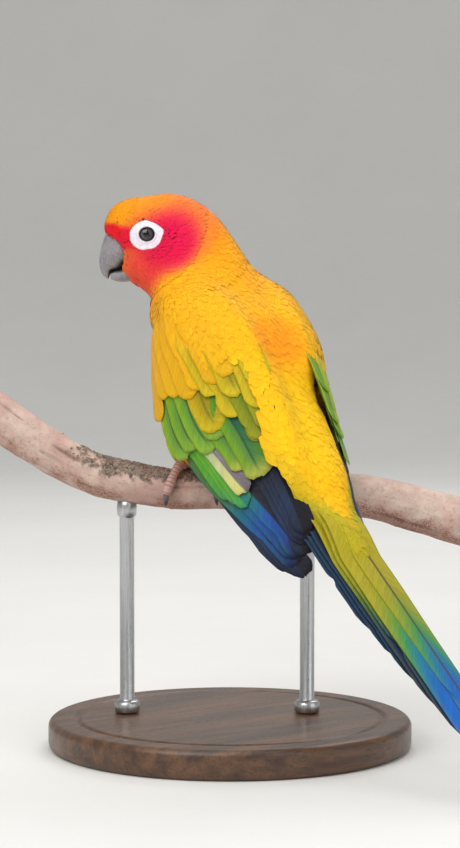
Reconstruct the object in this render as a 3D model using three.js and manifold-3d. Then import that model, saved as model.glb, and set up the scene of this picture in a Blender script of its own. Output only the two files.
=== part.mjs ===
// A sun conure, life size, perched on a cut length of branch that a plain display stand holds.
// Millimetres. +Z is up, +Y is the way the body faces and +X is the bird's right. The origin is the
// middle of the underside of the stand's base. Body, neck and head are one smooth form, a blend of
// ellipsoids, which thin planes part into nodes. Wing and tail feathers are thin vanes in tiers.

import * as THREE from "three";
import { mergeVertices } from "three/addons/utils/BufferGeometryUtils.js";
import Module from "manifold-3d";

const wasm = await Module();
wasm.setup();

// Sizes of the pose and the stand
const GAP = 0.3; // left between pieces that touch
const PERCH_HEIGHT = 104; // the branch's middle line above the floor, under the feet
const FEET_AT_Y = 10; // the middle of the two feet
const BODY_PITCH = 44; // degrees that the body leans up from level
const TAIL_PITCH = 42;
const TAIL_YAW = -1.5; // degrees that the tail swings to the bird's left
const HEAD_YAW = 51; // degrees that the head is turned to its left
const BRANCH_YAW = -39; // degrees that the branch is turned from across the body
const BODY_FROM_PERCH = [6, -15, 42]; // the middle of the torso, from the middle of the feet
const HEAD_FROM_PERCH = [-14, 26.5, 104.5]; // the middle between the eyes, from the middle of the feet

// Sizes of the bird
const EYE_HALF_WIDTH = 13.1; // from the middle of the head to the front of each eye
const EYE_RADIUS = 4.2;
const EYE_OPENING = 3.0; // radius of the eye that shows between the lids
const EYE_SKIN = [6.6, 5.4]; // half length and half height of the bare skin round the eye
const TAIL_LENGTH = 140;
const TAIL_FEATHERS = 12;
const TAIL_STEP = 14; // how much shorter each pair is than the one inside it
const TAIL_HALF = 7; // half the width of a tail feather
// How far the first feather of each side lies from the tail's middle, and each one outwards from
// the last. The fan opens towards the bird's left.
const TAIL_FAN = { left: [4.4, 1.3], right: [2, 0.9] };
const VANE_THICKNESS = 0.6;
const BLEND = 9; // over how many millimetres one body form flows into the next

// Sizes of the branch and the stand
const BRANCH = [
  // along the branch from under the feet, sideways, up, radius
  [-94, 2, 34, 9.8],
  [-82, 1, 25.4, 9.7],
  [-70, 0, 17.6, 9.4],
  [-55, 0, 8.8, 8.8],
  [-40, 0, 4.0, 8.9],
  [-20, 0, 0.8, 8.6],
  [0, 0, 0, 8.5],
  [32, 0, -0.4, 8.7],
  [64, 0, -2.9, 9.2],
  [84, 0, -8.0, 9.9],
  [100, 0, -12.6, 10.4],
  [117, 1, -17.2, 10.8],
];
const BASE_RADIUS = 74;
const BASE_THICKNESS = 12;
const BASE_AT_Y = 0;
const ROD_RADIUS = 3;
const RODS_ALONG = [-36, 38]; // where the rods meet the branch

// Colours
const YELLOW = [0xf6b90c, 0.75];
const ORANGE = [0xf39a12, 0.75];
const OLIVE = [0xb5a520, 0.7];
const HORN = [0x6f6e74, 0.45];
const SKIN = [0xc08a86, 0.6];
const CLAW = [0x3a3434, 0.4];
const EYE = [0x241d22, 0.1];
const BARK = [0xb8988a, 0.85];
const WOOD = [0x4a3222, 0.5];
const STEEL = [0x9a9da0, 0.35, 1];

const V = (x, y, z) => new THREE.Vector3(x, y, z);
const radians = THREE.MathUtils.degToRad;
const { lerp, smoothstep } = THREE.MathUtils;

// Frames: the torso's, the head's, the tail's and the branch's own axes, each as a matrix
function frameAt(position, yaw, pitch, roll = 0) {
  const turn = new THREE.Euler(radians(pitch), radians(roll), radians(yaw), "ZYX");
  return new THREE.Matrix4().makeRotationFromEuler(turn).setPosition(position);
}

const feet = V(0, FEET_AT_Y, PERCH_HEIGHT);
const TORSO = frameAt(feet.clone().add(V(...BODY_FROM_PERCH)), 0, BODY_PITCH);
const HEAD = frameAt(feet.clone().add(V(...HEAD_FROM_PERCH)), HEAD_YAW, 0);
const TAIL = frameAt(V(-2, -59, 4).applyMatrix4(TORSO), TAIL_YAW, TAIL_PITCH);
const BRANCH_FRAME = frameAt(feet, BRANCH_YAW, 0);

// The body's forms, each an ellipsoid in the torso's or the head's axes: middle, radii, tilt
function ellipsoid(frame, middle, radii, tilt = 0) {
  const own = frame.clone()
    .multiply(new THREE.Matrix4().makeTranslation(...middle))
    .multiply(new THREE.Matrix4().makeRotationX(radians(tilt)))
    .invert();
  const r = V(...radii);
  return (point) => {
    const p = point.clone().applyMatrix4(own).divide(r);
    const k = p.length();
    return (k * (k - 1)) / p.divide(r).length();
  };
}

const BODY_FORMS = [
  ellipsoid(TORSO, [0, 16, -3], [26, 36, 27]), // breast
  ellipsoid(TORSO, [0, -16, 0], [23, 32, 20]), // belly
  ellipsoid(TORSO, [1, 18, 9], [25, 38, 19]), // mantle
  ellipsoid(TORSO, [0, -42, 4], [15, 26, 12]), // rump
  ellipsoid(TORSO, [0, -46, -3], [12, 26, 10]), // vent
  ellipsoid(TAIL, [0, -8, -2], [9.5, 30, 5.5]), // coverts over and under the tail
];
const NECK_FORMS = [
  ellipsoid(TORSO, [0, 42, 7], [21, 22, 22]),
  ellipsoid(HEAD, [0, -20, -14], [16, 18, 20], 20),
];
const HEAD_FORMS = [
  ellipsoid(HEAD, [0, -8, 1], [14, 20.5, 16]), // crown
  ellipsoid(HEAD, [0, 6, 3], [9.5, 12, 12]), // forehead
  ellipsoid(HEAD, [0, -4, -8], [13.6, 13, 12]), // cheeks
  ellipsoid(HEAD, [0, 1, -13], [9, 10.5, 8]), // chin
];

function smoothUnion(a, b, over) {
  const h = Math.max(over - Math.abs(a - b), 0) / over;
  return Math.min(a, b) - (h * h * over) / 4;
}

const blended = (forms, over) => (p) =>
  forms.reduce((d, f) => smoothUnion(d, f(p), over), 1e3);
const torsoForm = blended(BODY_FORMS, BLEND);
const neckForm = blended(NECK_FORMS, BLEND);
const headForm = blended(HEAD_FORMS, BLEND / 2);
const body = (p) =>
  smoothUnion(smoothUnion(torsoForm(p), neckForm(p), BLEND), headForm(p), BLEND);

// Solids
function bare(geometry) {
  const kept = geometry.clone();
  for (const name of Object.keys(kept.attributes)) {
    if (name !== "position") kept.deleteAttribute(name);
  }
  return mergeVertices(kept, 1e-4);
}

function solid(geometry) {
  const g = bare(geometry);
  const made = new wasm.Manifold(new wasm.Mesh({
    numProp: 3,
    vertProperties: new Float32Array(g.attributes.position.array),
    triVerts: new Uint32Array(g.index.array),
  }));
  if (made.volume() < 0) throw new Error("a solid is inside out");
  return made;
}

function geometryOf(made) {
  const mesh = made.getMesh();
  return new THREE.BufferGeometry()
    .setAttribute("position", new THREE.BufferAttribute(new Float32Array(mesh.vertProperties), 3))
    .setIndex(new THREE.BufferAttribute(new Uint32Array(mesh.triVerts), 1));
}

const joined = (solids) => solids.reduce((a, b) => a.add(b));

// The largest closed surface, without hollows that joining sealed or loose scraps
function largest(made) {
  if (made.isEmpty()) throw new Error("nothing is left of a solid");
  return made.decompose().reduce((a, b) => (b.volume() > a.volume() ? b : a));
}

// A closed surface round a middle point, where straight lines out of it leave the form
function wrapped(form, middle, detail, stretch = V(1, 1, 1), frame = TORSO) {
  const ball = bare(new THREE.IcosahedronGeometry(1, detail));
  const position = ball.attributes.position;
  const from = middle.clone().applyMatrix4(frame);
  const step = 1.5;
  for (let i = 0; i < position.count; i += 1) {
    const way = V(0, 0, 0).fromBufferAttribute(position, i)
      .multiply(stretch).normalize().transformDirection(frame);
    const at = (reach) => way.clone().multiplyScalar(reach).add(from);
    let outside = step;
    while (form(at(outside)) < 0) outside += step;
    let inside = outside - step;
    for (let n = 0; n < 18; n += 1) {
      const middle = (inside + outside) / 2;
      if (form(at(middle)) < 0) inside = middle;
      else outside = middle;
    }
    position.setXYZ(i, ...at(inside));
  }
  return solid(ball);
}

// A closed skin over rings of the same number of points, with a point at each end
function skinned(rings) {
  const count = rings[0].length;
  const points = rings.flat();
  const middleOf = (ring) =>
    ring.reduce((a, b) => a.clone().add(b), V(0, 0, 0)).divideScalar(ring.length);
  points.push(middleOf(rings[0]), middleOf(rings.at(-1)));
  const [start, end] = [points.length - 2, points.length - 1];
  const faces = [];
  for (let j = 0; j < count; j += 1) {
    const k = (j + 1) % count;
    faces.push([start, k, j]);
    for (let i = 0; i + 1 < rings.length; i += 1) {
      const [a, b] = [i * count, (i + 1) * count];
      faces.push([a + j, a + k, b + k], [a + j, b + k, b + j]);
    }
    faces.push([end, (rings.length - 1) * count + j, (rings.length - 1) * count + k]);
  }
  return fromFaces(points, faces);
}

function fromFaces(points, faces) {
  const geometry = new THREE.BufferGeometry()
    .setAttribute("position", new THREE.Float32BufferAttribute(points.flatMap((p) => [...p]), 3))
    .setIndex(faces.flat());
  const made = new wasm.Manifold(new wasm.Mesh({
    numProp: 3,
    vertProperties: new Float32Array(geometry.attributes.position.array),
    triVerts: new Uint32Array(geometry.index.array),
  }));
  return made.volume() < 0 ? fromFaces(points, faces.map(([a, b, c]) => [a, c, b])) : made;
}

// A tube of oval sections along a curve. sizes(u) gives half width and half height at u from 0 to 1
function tube(curve, sizes, steps, sides, up = V(0, 0, 1)) {
  const rings = [];
  for (let i = 0; i <= steps; i += 1) {
    const u = i / steps;
    const along = curve.getTangent(u);
    const across = along.clone().cross(up).normalize();
    const over = across.clone().cross(along).normalize();
    const [width, height] = sizes(u);
    rings.push(Array.from({ length: sides }, (_, j) => {
      const turn = (2 * Math.PI * j) / sides;
      return curve.getPoint(u)
        .addScaledVector(across, width * Math.cos(turn))
        .addScaledVector(over, height * Math.sin(turn));
    }));
  }
  return skinned(rings);
}

// Keeps what lies on the side of a plane that its normal points to, half a gap away from it
function cutBy(made, point, normal) {
  const n = normal.clone().normalize();
  return made.trimByPlane([n.x, n.y, n.z], n.dot(point) + GAP / 2);
}

// Feathers: a vane is three points wide, cambered, and split alike on both faces
const VANE_STATIONS = [0, 0.35, 0.7, 0.9, 1];

function vaneWidth(u, round) {
  const opening = lerp(0.55, 1, smoothstep(u, 0, 0.4));
  const from = 1 - round;
  const closing = u < from ? 1 : Math.sqrt(Math.max(0.06, 1 - ((u - from) / round) ** 2));
  return opening * closing;
}

// spine(u) gives the vane's middle line and its normal; halves is [lower, upper] half width
function vane(spine, halves, { roll = 0, round = 0.3, thick = VANE_THICKNESS, drop = 0.12 } = {}) {
  const points = [];
  for (const u of VANE_STATIONS) {
    const { at, normal } = spine(u);
    const ahead = spine(Math.min(u + 0.02, 1)).at.clone().sub(spine(Math.max(u - 0.02, 0)).at);
    const along = ahead.normalize();
    const across = normal.clone().cross(along).normalize().applyAxisAngle(along, roll);
    const out = along.clone().cross(across).normalize();
    const width = vaneWidth(u, round);
    const depth = thick * lerp(1.25, 0.85, u);
    for (const level of [0, -depth]) {
      points.push(
        at.clone().addScaledVector(across, -halves[0] * width)
          .addScaledVector(out, level - drop * halves[0] * width),
        at.clone().addScaledVector(out, level),
        at.clone().addScaledVector(across, halves[1] * width)
          .addScaledVector(out, level - drop * halves[1] * width),
      );
    }
  }
  const faces = [];
  const row = 6;
  for (let i = 0; i + 1 < VANE_STATIONS.length; i += 1) {
    const [a, b] = [i * row, (i + 1) * row];
    for (const c of [0, 1]) {
      faces.push([a + c, a + c + 1, b + c + 1], [a + c, b + c + 1, b + c]);
      faces.push([a + c + 3, b + c + 4, a + c + 4], [a + c + 3, b + c + 3, b + c + 4]);
    }
    faces.push([a, b, a + 3], [a + 3, b, b + 3]);
    faces.push([a + 2, a + 5, b + 2], [a + 5, b + 5, b + 2]);
  }
  const last = (VANE_STATIONS.length - 1) * row;
  for (const c of [0, 1]) {
    faces.push([c, c + 3, c + 1], [c + 1, c + 3, c + 4]);
    faces.push([last + c, last + c + 1, last + c + 3], [last + c + 1, last + c + 4, last + c + 3]);
  }
  return fromFaces(points, faces);
}

// The folded wing's outer surface: s runs from the bend of the wing to its tip, t from the lower
// edge to the one along the back. The right wing, in the torso's axes
const WING_LOWER = [
  [23, 46, 1], [30, 29, -7], [34, 8, -15], [35, -12, -24], [34, -34, -22],
  [32, -55, -17], [29, -76, -12], [24, -93, -8],
];
const WING_UPPER = [
  [17, 46, 15], [17, 31, 26], [15, 10, 28], [14, -12, 24], [14, -34, 18],
  [15, -55, 9], [17, -76, 1], [22, -93, -5],
];
const WING_BULGE = [5, 10, 10, 7, 4, 2, 1, 0.2];
const TUCKED = { 1: 1, "-1": 0 }; // the right wing is held closer, the left one hangs lower
const TUCK = { edge: 8, tip: 10 };
const curveOf = (stations) => new THREE.CatmullRomCurve3(stations.map((p) => V(...p)));
const lowerEdge = curveOf(WING_LOWER);
const upperEdge = curveOf(WING_UPPER);

function along(values, s) {
  const x = THREE.MathUtils.clamp(s, 0, 1) * (values.length - 1);
  const i = Math.min(Math.floor(x), values.length - 2);
  return lerp(values[i], values[i + 1], smoothstep(x - i, 0, 1));
}

function wingSurface(side) {
  const point = (s, t) => {
    const [low, high] = [lowerEdge.getPoint(s), upperEdge.getPoint(s)];
    const out = high.clone().sub(low).cross(lowerEdge.getTangent(s)).normalize();
    const p = low.lerp(high, t).addScaledVector(out, 4 * t * (1 - t) * along(WING_BULGE, s));
    p.z += TUCKED[side] * TUCK.edge * Math.sin(Math.PI * s) * (1 - t);
    p.x -= TUCKED[side] * TUCK.tip * s * s;
    p.x *= side;
    return p.applyMatrix4(TORSO);
  };
  const inner = V(0, -10, 0).applyMatrix4(TORSO);
  const normal = (s, t) => {
    const e = 0.02;
    const [a, b] = [Math.max(s - e, 0), Math.min(s + e, 1)];
    const n = point(b, t).sub(point(a, t)).cross(point(s, t + e).sub(point(s, t - e))).normalize();
    return n.dot(point(s, t).sub(inner)) < 0 ? n.negate() : n;
  };
  return { point, normal };
}

// One feather on the wing, from its root to its tip, both as [s, t]. rise is how far it stands over
// the surface at the root and at the tip
function wingFeather(surface, side, root, tip, halves, rise, options = {}) {
  const spine = (u) => {
    const [s, t] = [lerp(root[0], tip[0], u), lerp(root[1], tip[1], u)];
    const normal = surface.normal(s, t);
    const at = surface.point(s, t).addScaledVector(normal, lerp(rise[0], rise[1], u));
    return { at, normal };
  };
  const { roll = 6, ...rest } = options;
  const ordered = side > 0 ? [halves[1], halves[0]] : halves;
  return vane(spine, ordered, { roll: radians(side * roll), ...rest });
}

function wingFeathers(side) {
  const surface = wingSurface(side);
  const made = [];
  const row = (count, build) => {
    for (let i = 0; i < count; i += 1) made.push(build(count > 1 ? i / (count - 1) : 0));
  };
  // Primaries, the outermost lowest and longest
  row(6, (i) => wingFeather(surface, side,
    [lerp(0.3, 0.42, i), lerp(0.09, 0.5, i)],
    [lerp(1, 0.72, i ** 1.2), lerp(0.4, 0.56, i)],
    [4.4, 4.4], [-1.6 + 1.2 * i, -1.4 + 2.0 * i], { round: 0.3, roll: 7 }));
  // Secondaries and tertials, the innermost on top
  row(5, (i) => wingFeather(surface, side,
    [lerp(0.34, 0.28, i), lerp(0.26, 0.92, i)],
    [lerp(0.68, 0.56, i), lerp(0.36, 0.86, i)],
    [5.2, 5.6], [-1.2, lerp(0.8, 1.4, i)], { round: 0.22, roll: 8 }));
  // Coverts of the primaries
  row(3, (i) => wingFeather(surface, side,
    [lerp(0.2, 0.24, i), lerp(0.06, 0.2, i)],
    [lerp(0.5, 0.48, i), lerp(0.1, 0.26, i)],
    [4.2, 4.4], [-0.8, lerp(0.4, 0.9, i)], { round: 0.3 }));
  // Greater coverts
  row(5, (i) => wingFeather(surface, side,
    [0.25, lerp(0.2, 0.92, i)],
    [lerp(0.45, 0.43, i), lerp(0.24, 0.88, i)],
    [5.2, 5.6], [-0.8, 1.7], { round: 0.28, roll: 9 }));
  // Median coverts
  row(5, (i) => wingFeather(surface, side,
    [lerp(0.12, 0.1, i), lerp(0.09, 0.9, i)],
    [lerp(0.31, 0.3, i), lerp(0.1, 0.88, i)],
    [5, 5.4], [-0.8, 1.7], { round: 0.34, roll: 9 }));
  // Scapulars, which lie over the wing's upper edge and part of the back
  row(2, (i) => wingFeather(surface, side,
    [lerp(0.16, 0.12, i), lerp(0.9, 1.02, i)],
    [lerp(0.44, 0.4, i), lerp(0.95, 1.05, i)],
    [5, 5.4], [0.2, 2.4], { round: 0.36, roll: 6 }));
  return made;
}

// The wing's own thickness under its feathers: a plate between its outer surface and the body
function wingPlate(side, ends = [0, 0.55], depth = 6) {
  const surface = wingSurface(side);
  const [columns, rows] = [5, 6];
  const points = [];
  for (const inward of [0, depth]) {
    for (let i = 0; i <= rows; i += 1) {
      for (let j = 0; j <= columns; j += 1) {
        const t = j / columns;
        const s = lerp(ends[0], lerp(ends[1], 0.45, t), i / rows);
        const thin = lerp(1, 0.15, smoothstep(i / rows, 0.45, 1));
        const edge = 0.35 + 0.65 * Math.sqrt(Math.sin(Math.PI * lerp(0.06, 0.94, t)));
        points.push(surface.point(s, t)
          .addScaledVector(surface.normal(s, t), -inward * thin * edge - 0.1));
      }
    }
  }
  const width = columns + 1;
  const under = width * (rows + 1);
  const faces = [];
  const quad = (a, b, c, d) => faces.push([a, b, c], [a, c, d]);
  for (let i = 0; i < rows; i += 1) {
    for (let j = 0; j < columns; j += 1) {
      const a = i * width + j;
      faces.push([a, a + 1, a + 1 + width], [a, a + 1 + width, a + width]);
      const b = a + under;
      faces.push([b, b + 1 + width, b + 1], [b, b + width, b + 1 + width]);
    }
  }
  for (let j = 0; j < columns; j += 1) {
    quad(j + 1, j, j + under, j + 1 + under);
    const k = rows * width + j;
    quad(k, k + 1, k + 1 + under, k + under);
  }
  for (let i = 0; i < rows; i += 1) {
    const a = i * width;
    quad(a, a + width, a + width + under, a + under);
    const b = a + columns;
    quad(b + width, b, b + under, b + width + under);
  }
  return fromFaces(points, faces);
}

// Coverts over the root of the tail: offset from its middle, length and level
const TAIL_COVERTS = [[-6, 22, 2.2], [6, 22, 2.3], [-2.6, 26, 2.9], [3, 25, 3.1]];

// Tail feathers: the middle pair longest and on top, each pair outwards shorter and lower
function tailFeathers() {
  const made = [];
  for (let n = 0; n < TAIL_FEATHERS / 2; n += 1) {
    for (const side of [1, -1]) {
      const length = TAIL_LENGTH - TAIL_STEP * n;
      const [first, next] = side < 0 ? TAIL_FAN.left : TAIL_FAN.right;
      const offset = first + next * n;
      const level = -0.9 * n - (side < 0 ? 0.3 : 0);
      const spine = (u) => ({
        at: V(
          side * offset * lerp(0.8, 1.05, u),
          8 - (length + 8) * u,
          level + 1.5 * Math.sin(u * 1.4)).applyMatrix4(TAIL),
        normal: V(side * (0.06 + 0.03 * n), 0, 1).normalize().transformDirection(TAIL),
      });
      made.push(vane(spine, [TAIL_HALF, TAIL_HALF], { round: 0.4, drop: 0.06 }));
    }
  }
  // Coverts over the root of the tail
  for (const [offset, length, level] of TAIL_COVERTS) {
    const spine = (u) => ({
      at: V(offset * lerp(0.7, 1, u), 14 - (length + 14) * u, lerp(level, 1.2, u))
        .applyMatrix4(TAIL),
      normal: V(0.04 * offset, 0, 1).normalize().transformDirection(TAIL),
    });
    made.push(vane(spine, [4.6, 4.6], { round: 0.45, drop: 0.1 }));
  }
  return made;
}

const material = ([colour, roughness, metalness = 0]) =>
  new THREE.MeshStandardMaterial({ color: colour, roughness, metalness });
const conure = new THREE.Group();
conure.name = "sun_conure_on_stand";

function node(name, made, finish) {
  const mesh = new THREE.Mesh(geometryOf(largest(made)), material(finish));
  mesh.name = name;
  conure.add(mesh);
}

const ball = (middle, radius, detail) =>
  solid(new THREE.IcosahedronGeometry(radius, detail).translate(...middle));

// The planes that part the body into nodes
const HEAD_CUT = [V(0, -14, -19).applyMatrix4(HEAD), V(0, 0.5, 0.87).transformDirection(HEAD)];
const NECK_CUT = [V(0, 42, 4).applyMatrix4(TORSO), V(0, 1, 0.1).transformDirection(TORSO)];
const TAIL_CUT = [V(0, -54, 0).applyMatrix4(TORSO), V(0, 1, 0).transformDirection(TORSO)];
const away = (plane) => [plane[0], plane[1].clone().negate()];
const near = (form, margin, ...planes) => (p) =>
  planes.reduce((d, [at, n]) => Math.max(d, -n.clone().normalize().dot(p.clone().sub(at)) - margin),
    form(p));

function partOfBody(middle, frame, detail, stretch, planes, grow = 0) {
  const form = near((p) => body(p) - grow, 3, ...planes);
  const made = wrapped(form, middle, detail, stretch, frame);
  return grow ? made : planes.reduce((m, plane) => cutBy(m, ...plane), made);
}

const torsoOf = (grow) => partOfBody(
  V(0, -6, 0), TORSO, 6, V(1, 1.8, 1), [away(NECK_CUT), TAIL_CUT, away(HEAD_CUT)], grow);
const neckOf = (grow) => partOfBody(
  V(-4, 48, 6), TORSO, 5, V(1, 1, 1), [NECK_CUT, away(HEAD_CUT)], grow);
const headOf = (grow) => partOfBody(V(0, -4, -1), HEAD, 7, V(1, 1.2, 1), [HEAD_CUT], grow);
const less = (made, others) => others.reduce((a, b) => a.subtract(b), made);

// Eyes: a ball behind an opening in a pad of bare skin
const SIDES = [[1, "right"], [-1, "left"]];
const eyeAt = (side) => V(side * (EYE_HALF_WIDTH - EYE_RADIUS), 0, 0);
const headSolid = (geometry) => solid(geometry.applyMatrix4(HEAD));
const eyeBall = (side, radius) =>
  headSolid(new THREE.IcosahedronGeometry(radius, 2).translate(...eyeAt(side)));
const eyePad = (side) => headSolid(new THREE.SphereGeometry(1, 18, 8).rotateZ(Math.PI / 2)
  .scale(3.2, ...EYE_SKIN)
  .rotateX(radians(14)).translate(side * (EYE_HALF_WIDTH - 3.4), -0.4, -0.4));
const eyeOpening = (side) => headSolid(new THREE.CylinderGeometry(EYE_OPENING, EYE_OPENING, 8, 18)
  .rotateZ(Math.PI / 2).translate(side * (EYE_HALF_WIDTH + 2), 0, 0));

// Bill: rings given by a front point, a back point and a half width, in the head's y and z
const UPPER_BILL = [
  [12, 4, 3, -5, 5],
  [16.3, 2.2, 6.5, -8, 6.2],
  [18.5, -2.4, 7.8, -10.6, 6.1],
  [19.6, -6.6, 9.2, -12.8, 5.4],
  [20.1, -10.2, 11.4, -14.3, 4.3],
  [19.9, -13.2, 14.4, -14.6, 3.0],
  [19.0, -15.8, 15.6, -16.2, 1.6],
  [17.1, -17.9, 16.3, -17.9, 0.5],
];
const LOWER_BILL = [
  [2, -9, 0, -16.5, 4.4],
  [7.6, -10.6, 4.6, -18.2, 5.0],
  [10.6, -13.6, 8.6, -19.2, 4.5],
  [13.8, -14.3, 12.4, -19.2, 3.5],
  [15.9, -15.5, 15.2, -18.2, 1.9],
];
const NOSTRIL = { at: [3.4, 15.6, 1.4], radius: 0.9 };

function bill(stations, grow = 0) {
  const rings = stations.map(([fy, fz, by, bz, width]) => {
    const [front, back] = [V(0, fy, fz), V(0, by, bz)];
    const half = front.clone().sub(back).divideScalar(2);
    half.setLength(half.length() + grow);
    const middle = front.add(back).divideScalar(2);
    return Array.from({ length: 14 }, (_, j) => {
      const turn = (2 * Math.PI * j) / 14;
      const flat = Math.sign(Math.cos(turn)) * Math.abs(Math.cos(turn)) ** 0.85;
      return V((width + grow) * flat, 0, 0).addScaledVector(half, Math.sin(turn))
        .add(middle).applyMatrix4(HEAD);
    });
  });
  return skinned(rings);
}

const nostrils = SIDES.map(([side]) => headSolid(new THREE.IcosahedronGeometry(NOSTRIL.radius, 2)
  .translate(side * NOSTRIL.at[0], NOSTRIL.at[1], NOSTRIL.at[2])));
const upperBill = less(bill(UPPER_BILL), nostrils);
const upperBillRoom = bill(UPPER_BILL, GAP);
const lowerBill = bill(LOWER_BILL).subtract(upperBillRoom);

node("torso", torsoOf(0), YELLOW);
node("neck", neckOf(0), ORANGE);
node("head", less(joined([headOf(0), ...SIDES.map(([side]) => eyePad(side))]), [
  upperBillRoom,
  bill(LOWER_BILL, GAP),
  ...SIDES.flatMap(([side]) => [eyeBall(side, EYE_RADIUS + GAP), eyeOpening(side)]),
]), ORANGE);
node("bill_upper", upperBill, HORN);
node("bill_lower", lowerBill, HORN);
SIDES.forEach(([side, word]) => node(`eye_${word}`, eyeBall(side, EYE_RADIUS), EYE));

const bodyGrown = [torsoOf(GAP), neckOf(GAP)];
const tailRoot = partOfBody(V(0, -54, 2), TORSO, 4, V(1, 1.4, 1), [away(TAIL_CUT)]);
const tail = cutBy(joined([tailRoot, ...tailFeathers()]), ...away(TAIL_CUT));
for (const [side, word] of SIDES) {
  const wing = joined([wingPlate(side), ...wingFeathers(side)]);
  node(`wing_${word}`, less(wing, bodyGrown), YELLOW);
}
node("tail", tail, OLIVE);

// Branch and stand
const branchLine = new THREE.CatmullRomCurve3(
  BRANCH.map(([a, side, up]) => V(a, side, up).applyMatrix4(BRANCH_FRAME)));
const branchRadii = BRANCH.map((station) => station[3]);
const branchOf = (grow) => tube(branchLine, (u) => {
  const r = along(branchRadii, u) + grow;
  return [r, r];
}, 23, 12);
node("perch_branch", branchOf(0), BARK);
const branchRoom = branchOf(GAP);

// Legs and feet. A toe runs round the branch: angles from level on the bird's rear side of it, over
// its top at 90 degrees, and how far it drifts along the branch
const BRANCH_WAY = V(1, 0, 0).transformDirection(BRANCH_FRAME);
const FEET = [[1, "right", 17], [-1, "left", -11.5]];
const THIGH = [8.5, 11, 11];
const THIGH_FROM_PERCH = [0, 11];
const ANKLE_CUT = 5; // above the top of the branch, where the foot ends and the leg begins
const TOE_RADIUS = 2.0;
const CLAW_SWEEP = 37; // degrees round the branch that a claw covers
const CLAW_START = 3.4; // degrees past the toe's end where its claw starts
const ANKLE_RADIUS = 3.4;
const TOES = [
  // end angle, drift along the branch to the bird's left, radius
  { end: 2, drift: -12, radius: 1.8 },
  { end: 186, drift: -2, radius: 1.9 },
  { end: 196, drift: 6, radius: 1.9 },
  { end: -8, drift: 8, radius: 2.0 },
];

function branchPoint(alongIt, angle, off) {
  const at = V(0, 0, 0);
  const stations = BRANCH.map((station) => station[0]);
  const i = Math.max(1, stations.findIndex((x) => x > alongIt)) - 1;
  const t = (alongIt - stations[i]) / (stations[i + 1] - stations[i]);
  const radius = lerp(BRANCH[i][3], BRANCH[i + 1][3], t);
  const up = lerp(BRANCH[i][2], BRANCH[i + 1][2], t);
  at.set(alongIt, -Math.cos(radians(angle)) * (radius + off),
    up + Math.sin(radians(angle)) * (radius + off));
  return at.applyMatrix4(BRANCH_FRAME);
}

const OVER_TOP = 90; // the angle of the branch's top
const TOE_STEPS = 8;

function toeCurve(foot, side, toe) {
  const points = [];
  for (let i = 0; i <= TOE_STEPS; i += 1) {
    const u = i / TOE_STEPS;
    const rise = TOE_RADIUS * lerp(1.25, 0.95, u);
    points.push(branchPoint(foot + side * toe.drift * u ** 0.8, lerp(OVER_TOP, toe.end, u), rise));
  }
  return new THREE.CatmullRomCurve3(points);
}

function footOf(side, foot) {
  const pieces = TOES.map((toe) => tube(toeCurve(foot, side, toe), (u) => {
    const r = toe.radius * lerp(1.05, 0.8, u);
    return [r, r];
  }, 6, 7, BRANCH_WAY));
  const ankle = branchPoint(foot, OVER_TOP, 3.2);
  pieces.push(ball(ankle, ANKLE_RADIUS, 2));
  return joined(pieces).subtract(branchRoom);
}

function clawOf(side, foot, toe) {
  const sweep = Math.sign(toe.end - OVER_TOP);
  const line = new THREE.CatmullRomCurve3([0, 0.33, 0.67, 1].map((u) => branchPoint(
    foot + side * toe.drift * (1 + 0.05 * u),
    toe.end + sweep * (CLAW_START + CLAW_SWEEP * u), lerp(1.9, 0.9, u) + 0.6 * Math.sin(Math.PI * u))));
  return tube(line, (u) => {
    const r = lerp(1.25, 0.25, u ** 1.3);
    return [r, r];
  }, 4, 7, BRANCH_WAY).subtract(branchRoom);
}

for (const [side, word, foot] of FEET) {
  const thighAt = branchPoint(foot, OVER_TOP, 0).add(V(-side * 2, ...THIGH_FROM_PERCH));
  const thigh = solid(new THREE.IcosahedronGeometry(1, 4)
    .scale(...THIGH).rotateX(radians(20)).translate(...thighAt));
  const ankleCut = [branchPoint(foot, OVER_TOP, ANKLE_CUT), V(0, 0, 1)];
  node(`leg_${word}`, cutBy(less(thigh, bodyGrown), ...ankleCut), ORANGE);
  node(`foot_${word}`, cutBy(less(footOf(side, foot), bodyGrown), ...away(ankleCut)), SKIN);
  TOES.forEach((toe, n) => node(`claw_${word}_${n + 1}`, clawOf(side, foot, toe), CLAW));
}

// Rods from the base to the branch
RODS_ALONG.forEach((alongIt, n) => {
  const top = branchPoint(alongIt, OVER_TOP, 0);
  const bottom = BASE_THICKNESS + GAP;
  const rod = solid(new THREE.CylinderGeometry(ROD_RADIUS, ROD_RADIUS, top.z - bottom, 24)
    .rotateX(Math.PI / 2).translate(top.x, top.y, (top.z + bottom) / 2));
  const below = rod.subtract(branchRoom).decompose()
    .reduce((a, b) => (b.boundingBox().min[2] < a.boundingBox().min[2] ? b : a));
  node(`stand_rod_${n ? "right" : "left"}`, below, STEEL);
});
node("stand_base", solid(new THREE.CylinderGeometry(BASE_RADIUS, BASE_RADIUS, BASE_THICKNESS, 64)
  .rotateX(Math.PI / 2).translate(0, BASE_AT_Y, BASE_THICKNESS / 2)), WOOD);

export default conure;
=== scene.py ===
"""A sun conure on a cut length of branch, held by a plain stand: the dressed model.

Lengths in this file are millimetres until a mesh is made. +Z is up, +Y is the way the body
faces and +X is the bird's right. The bird's form is a smooth blend of ellipsoids. One skin lies
just under it, and its feathers are rooted on that form and follow it.
"""

from __future__ import annotations

import logging
import math
from dataclasses import dataclass, field
from enum import Enum
from typing import Callable, Sequence

import bmesh
import bpy
import numpy as np
from mathutils import Matrix, Vector, noise
from mathutils.bvhtree import BVHTree
from mathutils.kdtree import KDTree


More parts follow.
